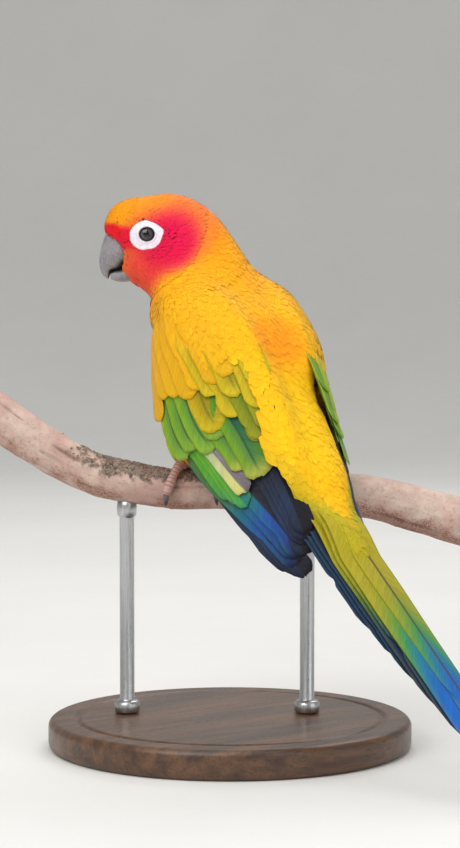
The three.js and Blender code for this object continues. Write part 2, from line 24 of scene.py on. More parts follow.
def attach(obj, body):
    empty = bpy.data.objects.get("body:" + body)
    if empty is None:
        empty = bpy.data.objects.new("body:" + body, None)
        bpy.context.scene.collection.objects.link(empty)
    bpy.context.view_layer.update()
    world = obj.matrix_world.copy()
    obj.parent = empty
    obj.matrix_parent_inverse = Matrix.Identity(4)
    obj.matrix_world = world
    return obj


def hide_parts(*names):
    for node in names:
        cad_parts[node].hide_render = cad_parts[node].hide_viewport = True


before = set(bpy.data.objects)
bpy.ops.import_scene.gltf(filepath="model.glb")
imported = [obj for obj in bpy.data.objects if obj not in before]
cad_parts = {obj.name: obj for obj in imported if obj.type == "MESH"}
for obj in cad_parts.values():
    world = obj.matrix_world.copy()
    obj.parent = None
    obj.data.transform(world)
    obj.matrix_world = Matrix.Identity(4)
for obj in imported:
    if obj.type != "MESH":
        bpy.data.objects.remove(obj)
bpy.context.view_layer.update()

LOG = logging.getLogger("conure")
MM = 0.001
TURN = 2 * math.pi
Array = np.ndarray

# The pose and the sizes, as in the solids
PERCH_HEIGHT = 104.0
FEET_AT_Y = 10.0
BODY_PITCH = 44.0
TAIL_PITCH = 42.0
TAIL_YAW = -1.5
HEAD_YAW = 51.0
BRANCH_YAW = -39.0
BODY_FROM_PERCH = (6.0, -15.0, 42.0)
HEAD_FROM_PERCH = (-14.0, 26.5, 104.5)
TAIL_ROOT = (-2.0, -59.0, 4.0)
BLEND = 9.0
EYE_HALF_WIDTH = 13.1
EYE_RADIUS = 4.2
EYE_OPENING = 3.0
TAIL_LENGTH = 140.0
HEAD_REACH = 25.0
BASE_RADIUS = 74.0
BASE_THICKNESS = 12.0
ROD_RADIUS = 3.0
RODS_ALONG = (-36.0, 38.0)
BRANCH = (
    (-94, 2, 34, 9.8),
    (-82, 1, 25.4, 9.7),
    (-70, 0, 17.6, 9.4),
    (-55, 0, 8.8, 8.8),
    (-40, 0, 4.0, 8.9),
    (-20, 0, 0.8, 8.6),
    (0, 0, 0, 8.5),
    (32, 0, -0.4, 8.7),
    (64, 0, -2.9, 9.2),
    (84, 0, -8.0, 9.9),
    (100, 0, -12.6, 10.4),
    (117, 1, -17.2, 10.8),
)
WING_LOWER = (
    (23, 46, 1), (30, 29, -7), (34, 8, -15), (35, -12, -24), (34, -34, -22),
    (32, -55, -17), (29, -76, -12), (24, -93, -8),
)
WING_UPPER = (
    (17, 46, 15), (17, 31, 26), (15, 10, 28), (14, -12, 24), (14, -34, 18),
    (15, -55, 9), (17, -76, 1), (22, -93, -5),
)
WING_BULGE = (5, 10, 10, 7, 4, 2, 1, 0.2)
TUCK_EDGE = 8.0
TUCK_TIP = 10.0
FEET = {1: 17.0, -1: -11.5}
THIGH = (8.5, 11.0, 11.0)
THIGH_FROM_PERCH = (0.0, 11.0)
TOES = ((2.0, -12.0, 1.8), (186.0, -2.0, 1.9), (196.0, 6.0, 1.9), (-8.0, 8.0, 2.0))
UPPER_BILL = (
    (12, 4, 3, -5, 5),
    (16.3, 2.2, 6.5, -8, 6.2),
    (18.5, -2.4, 7.8, -10.6, 6.1),
    (19.6, -6.6, 9.2, -12.8, 5.4),
    (20.1, -10.2, 11.4, -14.3, 4.3),
    (19.9, -13.2, 14.4, -14.6, 3.0),
    (19.0, -15.8, 15.6, -16.2, 1.6),
    (17.1, -17.9, 16.3, -17.9, 0.5),
)
LOWER_BILL = (
    (2, -9, 0, -16.5, 4.4),
    (7.6, -10.6, 4.6, -18.2, 5.0),
    (10.6, -13.6, 8.6, -19.2, 4.5),
    (13.8, -14.3, 12.4, -19.2, 3.5),
    (15.9, -15.5, 15.2, -18.2, 1.9),
)


class Side(Enum):
    """The bird's own two sides, each with its sign along +X."""

    RIGHT = 1
    LEFT = -1

    @property
    def word(self) -> str:
        """The side as node names spell it."""
        return self.name.lower()


def turn(axis: str, degrees: float) -> Array:
    """A rotation.

    Args:
        axis: x, y or z.
        degrees: the angle, by the right-hand rule.

    Returns:
        A 3 by 3 matrix.
    """
    a = math.radians(degrees)
    c, s = math.cos(a), math.sin(a)
    rows = {
        "x": ((1, 0, 0), (0, c, -s), (0, s, c)),
        "y": ((c, 0, s), (0, 1, 0), (-s, 0, c)),
        "z": ((c, -s, 0), (s, c, 0), (0, 0, 1)),
    }
    return np.array(rows[axis], float)


@dataclass(frozen=True)
class Place:
    """Own axes of a part of the bird: where their origin is and how they are turned."""

    origin: Array
    axes: Array

    @classmethod
    def at(cls, origin: Sequence[float], yaw: float, pitch: float = 0.0) -> "Place":
        """Axes pitched about X and then yawed about Z."""
        return cls(np.array(origin, float), turn("z", yaw) @ turn("x", pitch))

    def out(self, points: Array) -> Array:
        """Points from these axes to the model's."""
        return np.asarray(points, float) @ self.axes.T + self.origin

    def own(self, points: Array) -> Array:
        """Points from the model's axes to these."""
        return (np.asarray(points, float) - self.origin) @ self.axes

    def way(self, vector: Sequence[float]) -> Array:
        """A direction from these axes to the model's, of length one."""
        v = np.array(vector, float) @ self.axes.T
        return v / np.linalg.norm(v)


FEET_MIDDLE = np.array((0.0, FEET_AT_Y, PERCH_HEIGHT))
TORSO = Place.at(FEET_MIDDLE + BODY_FROM_PERCH, 0, BODY_PITCH)
HEAD = Place.at(FEET_MIDDLE + HEAD_FROM_PERCH, HEAD_YAW)
TAIL = Place.at(TORSO.out(TAIL_ROOT), TAIL_YAW, TAIL_PITCH)
PERCH = Place.at(FEET_MIDDLE, BRANCH_YAW)


def smooth(x: Array | float, low: float = 0.0, high: float = 1.0) -> Array:
    """A smooth step from 0 at low to 1 at high."""
    t = np.clip((np.asarray(x, float) - low) / (high - low), 0, 1)
    return t * t * (3 - 2 * t)


def mix(a: Array | float, b: Array | float, t: Array | float) -> Array:
    """A value between a at 0 and b at 1."""
    return np.asarray(a) + (np.asarray(b) - np.asarray(a)) * t


def unit(v: Array) -> Array:
    """Vectors scaled to length one."""
    return v / np.maximum(np.linalg.norm(v, axis=-1, keepdims=True), 1e-9)


def laid(ways: Array, normals: Array) -> Array:
    """Directions turned flat onto a surface, of length one."""
    return unit(ways - normals * (ways * normals).sum(axis=1, keepdims=True))


def circle(count: int) -> Array:
    """Angles evenly round a circle."""
    return TURN * np.arange(count) / count


def differences(value: Callable[[Array], Array], points: Array, step: float) -> Array:
    """How much a value grows over two steps along each axis."""
    return np.stack([value(points + d) - value(points - d) for d in np.eye(3) * step], axis=1)


def outwards(distance: Callable[[Array], Array], points: Array) -> Array:
    """Directions in which a distance grows fastest."""
    return unit(differences(distance, points, 0.05))


def settled(distance: Callable[[Array], Array], points: Array, height: Array | float,
            times: int) -> Array:
    """Moves points straight in or out until they stand at a height over a form."""
    for _ in range(times):
        off = distance(points) - height
        points = points - outwards(distance, points) * off[:, None]
    return points


def ball(detail: int) -> tuple[Array, Array]:
    """Points and triangles of a ball of radius one."""
    bm = bmesh.new()
    bmesh.ops.create_icosphere(bm, subdivisions=detail, radius=1.0)
    points = np.array([v.co[:] for v in bm.verts])
    faces = np.array([[v.index for v in f.verts] for f in bm.faces])
    bm.free()
    return points, faces


class Curve:
    """A smooth line through points, by centripetal Catmull-Rom, even in its points."""

    def __init__(self, points: Sequence[Sequence[float]]) -> None:
        """Keeps the points and adds one beyond each end."""
        p = np.array(points, float)
        self.p = np.vstack([2 * p[:1] - p[1:2], p, 2 * p[-1:] - p[-2:-1]])
        self.count = len(p)

    def at(self, u: Array | float) -> Array:
        """Points on the line.

        Args:
            u: from 0 at the first point to 1 at the last.

        Returns:
            One point for each u.
        """
        x = np.clip(np.atleast_1d(np.asarray(u, float)), 0, 1) * (self.count - 1)
        i = np.minimum(x.astype(int), self.count - 2)
        w = (x - i)[:, None]
        p0, p1, p2, p3 = (self.p[i + k] for k in range(4))

        def reach(a: Array, b: Array) -> Array:
            return np.maximum(np.linalg.norm(b - a, axis=1, keepdims=True) ** 0.5, 1e-4)

        d0, d1, d2 = reach(p0, p1), reach(p1, p2), reach(p2, p3)
        t1 = ((p1 - p0) / d0 - (p2 - p0) / (d0 + d1) + (p2 - p1) / d1) * d1
        t2 = ((p2 - p1) / d1 - (p3 - p1) / (d1 + d2) + (p3 - p2) / d2) * d1
        c2 = -3 * p1 + 3 * p2 - 2 * t1 - t2
        c3 = 2 * p1 - 2 * p2 + t1 + t2
        return p1 + t1 * w + c2 * w**2 + c3 * w**3

    def tangent(self, u: Array | float) -> Array:
        """Directions along the line, of length one."""
        u = np.atleast_1d(np.asarray(u, float))
        return unit(self.at(np.minimum(u + 1e-3, 1)) - self.at(np.maximum(u - 1e-3, 0)))


def stepped(values: Sequence[float], u: Array | float) -> Array:
    """A value at u from 0 to 1 along an even list, eased between its entries."""
    x = np.clip(np.asarray(u, float), 0, 1) * (len(values) - 1)
    i = np.minimum(x.astype(int), len(values) - 2)
    v = np.array(values, float)
    return mix(v[i], v[i + 1], smooth(x - i))


@dataclass(frozen=True)
class Ellipsoid:
    """One of the forms that the body is blended from."""

    place: Place
    middle: tuple[float, float, float]
    radii: tuple[float, float, float]
    tilt: float = 0.0

    def distance(self, points: Array) -> Array:
        """How far points lie outside, nearly, and less than 0 inside."""
        p = (self.place.own(points) - np.array(self.middle)) @ turn("x", self.tilt)
        r = np.array(self.radii)
        q = p / r
        k = np.linalg.norm(q, axis=1)
        return k * (k - 1) / np.maximum(np.linalg.norm(q / r, axis=1), 1e-9)


def united(a: Array, b: Array, over: float) -> Array:
    """Two distances joined, the forms flowing into each other."""
    h = np.maximum(over - np.abs(a - b), 0) / over
    return np.minimum(a, b) - h * h * over / 4


class BodyForm:
    """The outer form of body, neck and head under the wings, as a distance."""

    torso = (
        Ellipsoid(TORSO, (0, 16, -3), (26, 36, 27)),
        Ellipsoid(TORSO, (0, -16, 0), (23, 32, 20)),
        Ellipsoid(TORSO, (1, 18, 9), (25, 38, 19)),
        Ellipsoid(TORSO, (0, -42, 4), (15, 26, 12)),
        Ellipsoid(TORSO, (0, -46, -3), (12, 26, 10)),
        Ellipsoid(TAIL, (0, -8, -2), (9.5, 30, 5.5)),
    )
    neck = (
        Ellipsoid(TORSO, (0, 42, 7), (21, 22, 22)),
        Ellipsoid(HEAD, (0, -20, -14), (16, 18, 20), 20),
    )
    head = (
        Ellipsoid(HEAD, (0, -8, 1), (14, 20.5, 16)),
        Ellipsoid(HEAD, (0, 6, 3), (9.5, 12, 12)),
        Ellipsoid(HEAD, (0, -4, -8), (13.6, 13, 12)),
        Ellipsoid(HEAD, (0, 1, -13), (9, 10.5, 8)),
    )

    longest = 110.0
    # the balls that cover the form: axes, middle and stretch
    wraps = (
        (TORSO, (0, -6, 0), (1, 1.8, 1)),
        (TORSO, (-4, 48, 6), (1, 1, 1)),
        (HEAD, (0, -4, -1), (1, 1.2, 1)),
        (TORSO, (0, -54, 2), (1, 1.4, 1)),
    )

    @staticmethod
    def _blend(forms: Sequence[Ellipsoid], points: Array, over: float) -> Array:
        """Several forms joined in order."""
        d = np.full(len(points), 1e3)
        for form in forms:
            d = united(d, form.distance(points), over)
        return d

    def distance(self, points: Array) -> Array:
        """How far points lie outside the whole form."""
        torso = self._blend(self.torso, points, BLEND)
        neck = self._blend(self.neck, points, BLEND)
        head = self._blend(self.head, points, BLEND / 2)
        return united(united(torso, neck, BLEND), head, BLEND)

    def normal(self, points: Array) -> Array:
        """Directions straight out of the form."""
        return outwards(self.distance, points)

    def settle(self, points: Array, height: Array | float, times: int = 2) -> Array:
        """Points moved until they stand at a height over the form."""
        return settled(self.distance, points, height, times)

    def wrapped(self, place: Place, middle: Sequence[float], stretch: Sequence[float],
                detail: int) -> tuple[Array, Array]:
        """A closed ball blown up from a middle point to the form.

        Args:
            place: the axes that the middle and the stretch are in.
            middle: the point inside the form.
            stretch: how the ball's directions are stretched first.
            detail: how often the ball is divided.

        Returns:
            Its points, and its triangles.
        """
        ways, faces = ball(detail)
        ways = unit(ways * np.array(stretch)) @ place.axes.T
        centre = place.out(middle)
        inside = np.zeros(len(ways))
        for reach in np.arange(1.0, self.longest, 1.0):
            free = self.distance(centre + ways * reach) < 0
            inside = np.where(free & (inside >= reach - 1.5), reach, inside)
        low, high = inside, inside + 1.0
        for _ in range(12):
            half = (low + high) / 2
            within = self.distance(centre + ways * half[:, None]) < 0
            low, high = np.where(within, half, low), np.where(within, high, half)
        return centre + ways * low[:, None], faces


FORM = BodyForm()


# Colours


def linear(code: str) -> Array:
    """A colour written as six hexadecimal digits, as linear red, green and blue."""
    c = np.array([int(code[i:i + 2], 16) for i in (0, 2, 4)], float) / 255
    return np.where(c <= 0.04045, c / 12.92, ((c + 0.055) / 1.055) ** 2.4)


def gradient(stops: Sequence[tuple[float, str]], u: Array) -> Array:
    """Colours between named stops.

    Args:
        stops: pairs of a place from 0 to 1 and a colour.
        u: the places wanted.

    Returns:
        One linear colour for each place.
    """
    at = [stop[0] for stop in stops]
    colours = np.array([linear(stop[1]) for stop in stops])
    return np.stack([np.interp(u, at, colours[:, k]) for k in range(3)], axis=-1)


@dataclass(frozen=True)
class Patch:
    """A soft-edged patch of colour, oval in the axes of its part of the body."""

    place: Place
    middle: tuple[float, float, float]
    radii: tuple[float, float, float]
    colour: str
    soft: float = 0.35
    strength: float = 1.0
    turned: float = 0.0

    def mask(self, points: Array) -> Array:
        """How much of the patch's colour lies at each point, the same on both sides."""
        p = self.place.own(points)
        p[:, 0] = np.abs(p[:, 0])
        p = (p - np.array(self.middle)) @ turn("x", self.turned)
        k = np.linalg.norm(p / np.array(self.radii), axis=1)
        return self.strength * (1 - smooth(k, 1 - self.soft, 1 + self.soft))


class Markings:
    """The colours of body, neck and head, which skin and feathers share."""

    base = "fbbd06"
    tail = "b8a81c"
    tail_edge = -18.0
    tail_slope = 1.75
    patches = (
        # the underside and the breast
        Patch(TORSO, (0, -4, -26), (30, 46, 20), "f79a10", 0.6, 0.8),
        Patch(TORSO, (0, -44, -14), (16, 26, 12), "e6bf18", 0.5, 0.8),
        # the mantle, which has an orange middle
        Patch(TORSO, (0, 30, 28), (20, 17, 13), "f9a30e", 0.6, 0.55),
        Patch(TORSO, (3, 2, 27), (9, 12, 9), "fb8f0e", 0.6, 0.8),
        Patch(TORSO, (20, 24, 20), (9, 16, 12), "f7a90e", 0.6, 0.4),
        # the rump
        Patch(TORSO, (0, -38, 16), (17, 22, 12), "fec709", 0.5, 0.9),
        # the neck
        Patch(HEAD, (0, -24, -16), (26, 24, 26), "fba702", 0.4, 0.9),
        Patch(HEAD, (0, -3, -26), (15, 13, 13), "fb8c1c", 0.5, 0.9),
        # the head: crown, the red round the eyes, and the cheeks
        Patch(HEAD, (0, -14, 0), (22, 17, 20), "fb8419", 0.35),
        Patch(HEAD, (0, 9, 10), (20, 17, 10), "f79c02", 0.35, 1.0, 20),
        Patch(HEAD, (0, -8, 13), (20, 12, 8), "f9901a", 0.5, 0.8),
        Patch(HEAD, (0, 1, -14), (20, 9.5, 10), "f6523a", 0.35),
        Patch(HEAD, (0, -17, 4), (20, 11, 14), "fb7a34", 0.45, 0.9),
        Patch(HEAD, (0, -2.5, -3.5), (20, 13.5, 14.5), "f2343e", 0.3, 0.9),
        Patch(HEAD, (0, -10.6, -4), (20, 15.5, 17), "ee1a46", 0.2, 1.0, -12),
        Patch(HEAD, (0, -10.6, -4.5), (20, 12.5, 14.5), "e90549", 0.3, 1.0, -12),
        Patch(HEAD, (0, 8, -1.5), (20, 9, 5.6), "ee1038", 0.25),
        Patch(HEAD, (0, 15.5, 1.6), (20, 6, 3.4), "f01224", 0.25),
        Patch(HEAD, (0, 7, -13), (20, 5.5, 8), "f8583a", 0.5, 0.6),
    )

    def colour(self, points: Array) -> Array:
        """The colour at points on or near the body."""
        made = np.tile(linear(self.base), (len(points), 1))
        for patch in self.patches:
            made = mix(made, linear(patch.colour), patch.mask(points)[:, None])
        tail = TAIL.own(points)
        edge = self.tail_edge + self.tail_slope * np.abs(tail[:, 0])
        olive = smooth(edge - tail[:, 1], -1.5, 4) * smooth(tail[:, 2], -7, -3)
        return mix(made, linear(self.tail), olive[:, None])


MARKINGS = Markings()


# Node trees


class Nodes:
    """A short way to write a tree of nodes."""

    def __init__(self, tree: bpy.types.NodeTree) -> None:
        """Keeps the tree."""
        self.tree = tree
        self.placed = 0

    def add(self, kind: str, inputs: dict | None = None, **settings: object) -> bpy.types.Node:
        """A node with its settings and inputs.

        Args:
            kind: the node's type name.
            inputs: input by name or number, as a value or as an output socket to link.
            **settings: the node's own properties.

        Returns:
            The node.
        """
        node = self.tree.nodes.new(kind)
        node.location = (200 * (self.placed % 8), -240 * (self.placed // 8))
        self.placed += 1
        for name, value in settings.items():
            setattr(node, name, value)
        for name, value in (inputs or {}).items():
            self.put(node, name, value)
        return node

    def put(self, node: bpy.types.Node, name: str | int, value: object) -> None:
        """Sets or links one input of a node."""
        socket = node.inputs[name]
        if isinstance(value, bpy.types.NodeSocket):
            self.tree.links.new(value, socket)
        else:
            socket.default_value = value

    def maths(self, operation: str, *values: object) -> bpy.types.NodeSocket:
        """The result of a Math node."""
        node = self.add("ShaderNodeMath", dict(enumerate(values)), operation=operation)
        return node.outputs[0]

    def mapped(self, value: object, low: float, high: float, to_low: float = 0.0,
               to_high: float = 1.0) -> bpy.types.NodeSocket:
        """A value carried from one range to another, smoothly and within its limits."""
        given = {"Value": value, "From Min": low, "From Max": high,
                 "To Min": to_low, "To Max": to_high}
        return self.add("ShaderNodeMapRange", given, interpolation_type="SMOOTHSTEP").outputs[0]

    def blended(self, factor: object, a: object, b: object,
                how: str = "MIX") -> bpy.types.NodeSocket:
        """Two colours mixed. Each is a socket, a colour or its six digits."""
        node = self.add("ShaderNodeMix", data_type="RGBA", blend_type=how)
        for index, value in ((0, factor), (6, a), (7, b)):
            if isinstance(value, str):
                value = linear(value)
            if not isinstance(value, bpy.types.NodeSocket) and index > 0:
                value = (*tuple(value)[:3], 1.0)
            self.put(node, index, value)
        return node.outputs[2]

    def over(self, colour: object, code: str, share: object,
             amount: object = 1.0) -> bpy.types.NodeSocket:
        """A colour with another laid over it, by a share and how much that counts."""
        if amount != 1.0:
            share = self.maths("MULTIPLY", share, amount)
        return self.blended(share, colour, code)

    def grey(self, level: object) -> bpy.types.NodeSocket:
        """A grey of a level."""
        return self.add("ShaderNodeCombineColor", {0: level, 1: level, 2: level}).outputs[0]

    def scaled(self, vector: object, by: object) -> bpy.types.NodeSocket:
        """A vector times another, axis by axis."""
        return self.add("ShaderNodeVectorMath", {0: vector, 1: by}, operation="MULTIPLY").outputs[0]

    def attribute(self, name: str, out: str = "Fac") -> bpy.types.NodeSocket:
        """An attribute of the mesh."""
        return self.add("ShaderNodeAttribute", attribute_name=name).outputs[out]

    def uv(self, name: str) -> bpy.types.NodeSocket:
        """A UV map of the mesh."""
        return self.add("ShaderNodeUVMap", uv_map=name).outputs[0]

    def place(self) -> bpy.types.NodeSocket:
        """Object coordinates, in metres."""
        return self.add("ShaderNodeTexCoord").outputs["Object"]

    def grain(self, vector: object, scale: Sequence[float]) -> bpy.types.NodeOutputs:
        """The grain group's outputs, at its own scale along each axis."""
        given = {"Place": vector, "Scale": tuple(scale)}
        return self.add("ShaderNodeGroup", given, node_tree=grain_group()).outputs

    def bump(self, height: object, depth: float, strength: float = 1.0,
             under: object | None = None) -> bpy.types.NodeSocket:
        """A normal from a height. depth is in metres."""
        given = {"Height": height, "Distance": depth, "Strength": strength}
        if under is not None:
            given["Normal"] = under
        return self.add("ShaderNodeBump", given).outputs[0]

    def noise(self, vector: object, scale: float, detail: float = 4.0, rough: float = 0.55,
              warp: float = 0.0) -> bpy.types.NodeSocket:
        """The value of a noise texture."""
        given = {"Vector": vector, "Scale": scale, "Detail": detail, "Roughness": rough,
                 "Distortion": warp}
        return self.add("ShaderNodeTexNoise", given).outputs[0]


class Group:
    """A group of nodes built once."""

    built: dict[str, bpy.types.NodeTree] = {}

    @classmethod
    def tree(cls, name: str, inputs: Sequence[tuple[str, str, float | None]],
             outputs: Sequence[tuple[str, str]],
             fill: Callable[[Nodes, bpy.types.Node, bpy.types.Node], None],
             sort: str = "ShaderNodeTree") -> bpy.types.NodeTree:
        """The group's tree, made on its first use.

        Args:
            name: the group's name.
            inputs: name, socket type and value at first of each input.
            outputs: name and socket type of each output.
            fill: a function that makes the nodes between the two ends.
            sort: the tree's type name.

        Returns:
            The tree.
        """
        if name in cls.built:
            return cls.built[name]
        tree = bpy.data.node_groups.new(name, sort)
        for label, kind, value in inputs:
            made = tree.interface.new_socket(label, in_out="INPUT", socket_type=kind)
            if value is not None:
                made.default_value = value
        for label, kind in outputs:
            tree.interface.new_socket(label, in_out="OUTPUT", socket_type=kind)
        nodes = Nodes(tree)
        fill(nodes, nodes.add("NodeGroupInput"), nodes.add("NodeGroupOutput"))
        cls.built[name] = tree
        return tree


FLOAT = "NodeSocketFloat"
VECTOR = "NodeSocketVector"
GEOMETRY = "NodeSocketGeometry"


def barbs_group() -> bpy.types.NodeTree:
    """Fine lines that slant from a feather's shaft to its edge. Reads millimetres along, across."""

    def fill(nodes: Nodes, start: bpy.types.Node, end: bpy.types.Node) -> None:
        parts = nodes.add("ShaderNodeSeparateXYZ", {0: start.outputs["Vane"]})
        across = nodes.maths("ABSOLUTE", parts.outputs[1])
        wander = nodes.noise(start.outputs["Vane"], 0.45, 2.0)
        slant = nodes.maths("MULTIPLY", across, start.outputs["Slant"])
        phase = nodes.maths("SUBTRACT", parts.outputs[0], slant)
        phase = nodes.maths("ADD", phase, nodes.maths("MULTIPLY", wander, 2.4))
        turns = nodes.maths("DIVIDE", phase, start.outputs["Period"])
        wave = nodes.maths("SINE", nodes.maths("MULTIPLY", turns, TURN))
        clumps = nodes.add("ShaderNodeCombineXYZ", {0: nodes.maths("MULTIPLY", phase, 0.9),
                                                   1: nodes.maths("MULTIPLY", across, 0.12)})
        broad = nodes.noise(clumps.outputs[0], 1.1, 3.0, 0.6)
        fine = nodes.maths("MULTIPLY_ADD", wave, 0.5, 0.5)
        nodes.put(end, "Lines", fine)
        nodes.put(end, "Streaks", nodes.mapped(broad, 0.32, 0.68))
        height = nodes.maths("MULTIPLY_ADD", broad, 1.4, nodes.maths("MULTIPLY", fine, 0.6))
        nodes.put(end, "Height", height)

    return Group.tree(
        "Feather barbs",
        (("Vane", VECTOR, None), ("Period", FLOAT, 0.45), ("Slant", FLOAT, 1.1)),
        (("Lines", FLOAT), ("Streaks", FLOAT), ("Height", FLOAT)), fill)


def grain_group() -> bpy.types.NodeTree:
    """Uneven tone on two scales, for skin, horn, bark and timber."""

    def fill(nodes: Nodes, start: bpy.types.Node, end: bpy.types.Node) -> None:
        place = nodes.scaled(start.outputs["Place"], start.outputs["Scale"])
        broad = nodes.noise(place, 1.0, 5.0, 0.6, 0.3)
        fine = nodes.noise(place, 6.0, 3.0, 0.6)
        nodes.put(end, "Broad", nodes.mapped(broad, 0.3, 0.7))
        nodes.put(end, "Fine", nodes.mapped(fine, 0.35, 0.65))
        nodes.put(end, "Height", nodes.maths("MULTIPLY_ADD", fine, 0.35, broad))

    return Group.tree(
        "Uneven grain", (("Place", VECTOR, None), ("Scale", VECTOR, None)),
        (("Broad", FLOAT), ("Fine", FLOAT), ("Height", FLOAT)), fill)


def flakes_tree() -> bpy.types.NodeTree:
    """Flat flakes scattered over a surface where its bark attribute is high."""

    def fill(nodes: Nodes, start: bpy.types.Node, end: bpy.types.Node) -> None:
        def drawn(low: Sequence[float], high: Sequence[float], more: int) -> bpy.types.NodeSocket:
            seed = nodes.maths("ADD", start.outputs["Seed"], more)
            return nodes.add("FunctionNodeRandomValue", {0: low, 1: high, "Seed": seed},
                             data_type="FLOAT_VECTOR").outputs[0]

        bark = nodes.add("GeometryNodeInputNamedAttribute", {"Name": "bark"}, data_type="FLOAT")
        spots = nodes.add("GeometryNodeDistributePointsOnFaces", {
            "Mesh": start.outputs["Geometry"], "Distance Min": start.outputs["Nearest"],
            "Density Max": start.outputs["Density"], "Density Factor": bark.outputs[0],
            "Seed": start.outputs["Seed"]}, distribute_method="POISSON")
        flake = nodes.add("GeometryNodeMeshUVSphere", {"Segments": 7, "Rings": 5, "Radius": 1.0})
        turned = nodes.add("FunctionNodeRotateRotation", {
            "Rotation": spots.outputs["Rotation"],
            "Rotate By": drawn((-0.3, -0.3, 0.0), (0.3, 0.3, TURN), 1)},
            rotation_space="LOCAL")
        size = nodes.add("ShaderNodeVectorMath", {
            0: drawn((0.6, 0.35, 0.15), (1.6, 0.8, 0.4), 2), "Scale": start.outputs["Wide"]},
            operation="SCALE")
        placed = nodes.add("GeometryNodeInstanceOnPoints", {
            "Points": spots.outputs["Points"], "Instance": flake.outputs["Mesh"],
            "Rotation": turned.outputs[0], "Scale": size.outputs[0]})
        rounded = nodes.add("GeometryNodeSetShadeSmooth", {0: placed.outputs[0]})
        real = nodes.add("GeometryNodeRealizeInstances", {0: rounded.outputs[0]})
        painted = nodes.add("GeometryNodeSetMaterial", {
            "Geometry": real.outputs[0], "Material": start.outputs["Finish"]})
        nodes.put(end, "Geometry", painted.outputs[0])

    return Group.tree(
        "Bark flakes",
        (("Geometry", GEOMETRY, None), ("Nearest", FLOAT, 0.001), ("Density", FLOAT, 1.0e6),
         ("Wide", FLOAT, 0.001), ("Seed", "NodeSocketInt", 1),
         ("Finish", "NodeSocketMaterial", None)),
        (("Geometry", GEOMETRY),), fill, "GeometryNodeTree")


class Finish:
    """What the finishes share: a material with one Principled shader."""

    name: str

    def material(self) -> bpy.types.Material:
        """The material, made once for each set of values."""
        label = f"{type(self).__name__}_{self.name}"
        if label in bpy.data.materials:
            return bpy.data.materials[label]
        made = bpy.data.materials.new(label)
        made.use_nodes = True
        made.node_tree.nodes.clear()
        nodes = Nodes(made.node_tree)
        shader = nodes.add("ShaderNodeBsdfPrincipled")
        nodes.add("ShaderNodeOutputMaterial", {0: shader.outputs[0]})
        for name, value in self.inputs(nodes).items():
            nodes.put(shader, name, value)
        return made

    def inputs(self, nodes: Nodes) -> dict[str, object]:
        """The shader's inputs by name, as values or as sockets to link."""
        return {}


@dataclass(frozen=True)
class PlumageFinish(Finish):
    """Feathers: their own tint with barb lines, and a soft sheen."""

    name: str = "contour"
    rough: float = 0.66
    period: float = 0.5
    lines: float = 0.06
    streaks: float = 0.12
    depth: float = 0.00006

    def inputs(self, nodes: Nodes) -> dict[str, object]:
        """Reads the tint attribute and the Vane map."""
        barbs = nodes.add("ShaderNodeGroup", {
            "Vane": nodes.scaled(nodes.uv("Vane"), (100, 100, 1)), "Period": self.period},
            node_tree=barbs_group()).outputs
        dark = nodes.maths("MULTIPLY_ADD", barbs["Lines"], self.lines, 1 - self.lines)
        pale = nodes.maths("MULTIPLY_ADD", barbs["Streaks"], self.streaks, 1 - self.streaks * 0.55)
        tone = nodes.grey(nodes.maths("MULTIPLY", dark, pale))
        tint = nodes.attribute("tint", "Color")
        return {"Base Color": nodes.blended(1.0, tint, tone, "MULTIPLY"),
                "Roughness": nodes.maths("MULTIPLY_ADD", barbs["Streaks"], -0.12,
                                         self.rough + 0.06),
                "Normal": nodes.bump(barbs["Height"], self.depth, 0.8),
                "Specular IOR Level": 0.2, "Sheen Weight": 0.05, "Sheen Roughness": 0.5,
                "Sheen Tint": (1.0, 0.93, 0.72, 1.0)}


@dataclass(frozen=True)
class SkinFinish(Finish):
    """The skin under the feathers, in their colours but duller."""

    name: str = "body"

    def inputs(self, nodes: Nodes) -> dict[str, object]:
        """Reads the tint attribute, and adds down."""
        tint = nodes.attribute("tint", "Color")
        grain = nodes.grain(nodes.place(), (420, 420, 420))
        colour = nodes.blended(grain["Fine"], tint, (0.42, 0.25, 0.10))
        return {"Base Color": nodes.blended(0.7, colour, tint),
                "Roughness": nodes.mapped(grain["Broad"], 0, 1, 0.75, 0.9),
                "Normal": nodes.bump(grain["Height"], 0.0003)}


@dataclass(frozen=True)
class LayeredFinish(Finish):
    """Two tones mixed by uneven grain, more colours over them, and the grain as relief.

    A layer has what drives it (the grain's Fine or an attribute), how much that counts, and a
    colour. rough is the roughness from one end of the fine grain to the other.
    """

    name: str
    scale: tuple[float, float, float]
    tones: tuple[str, str]
    layers: tuple[tuple[str, float, str], ...]
    rough: tuple[float, float]
    depth: float
    strength: float = 1.0
    fixed: tuple[tuple[str, float], ...] = ()

    def inputs(self, nodes: Nodes) -> dict[str, object]:
        """Lays the colours over one another."""
        grain = nodes.grain(nodes.place(), self.scale)
        colour = nodes.blended(grain["Broad"], *self.tones)
        for driver, amount, code in self.layers:
            share = grain[driver] if driver == "Fine" else nodes.attribute(driver)
            colour = nodes.over(colour, code, share, amount)
        made = {"Base Color": colour, "Roughness": nodes.mapped(grain["Fine"], 0, 1, *self.rough)}
        if self.depth:
            made["Normal"] = nodes.bump(grain["Height"], self.depth, self.strength)
        return made | dict(self.fixed)


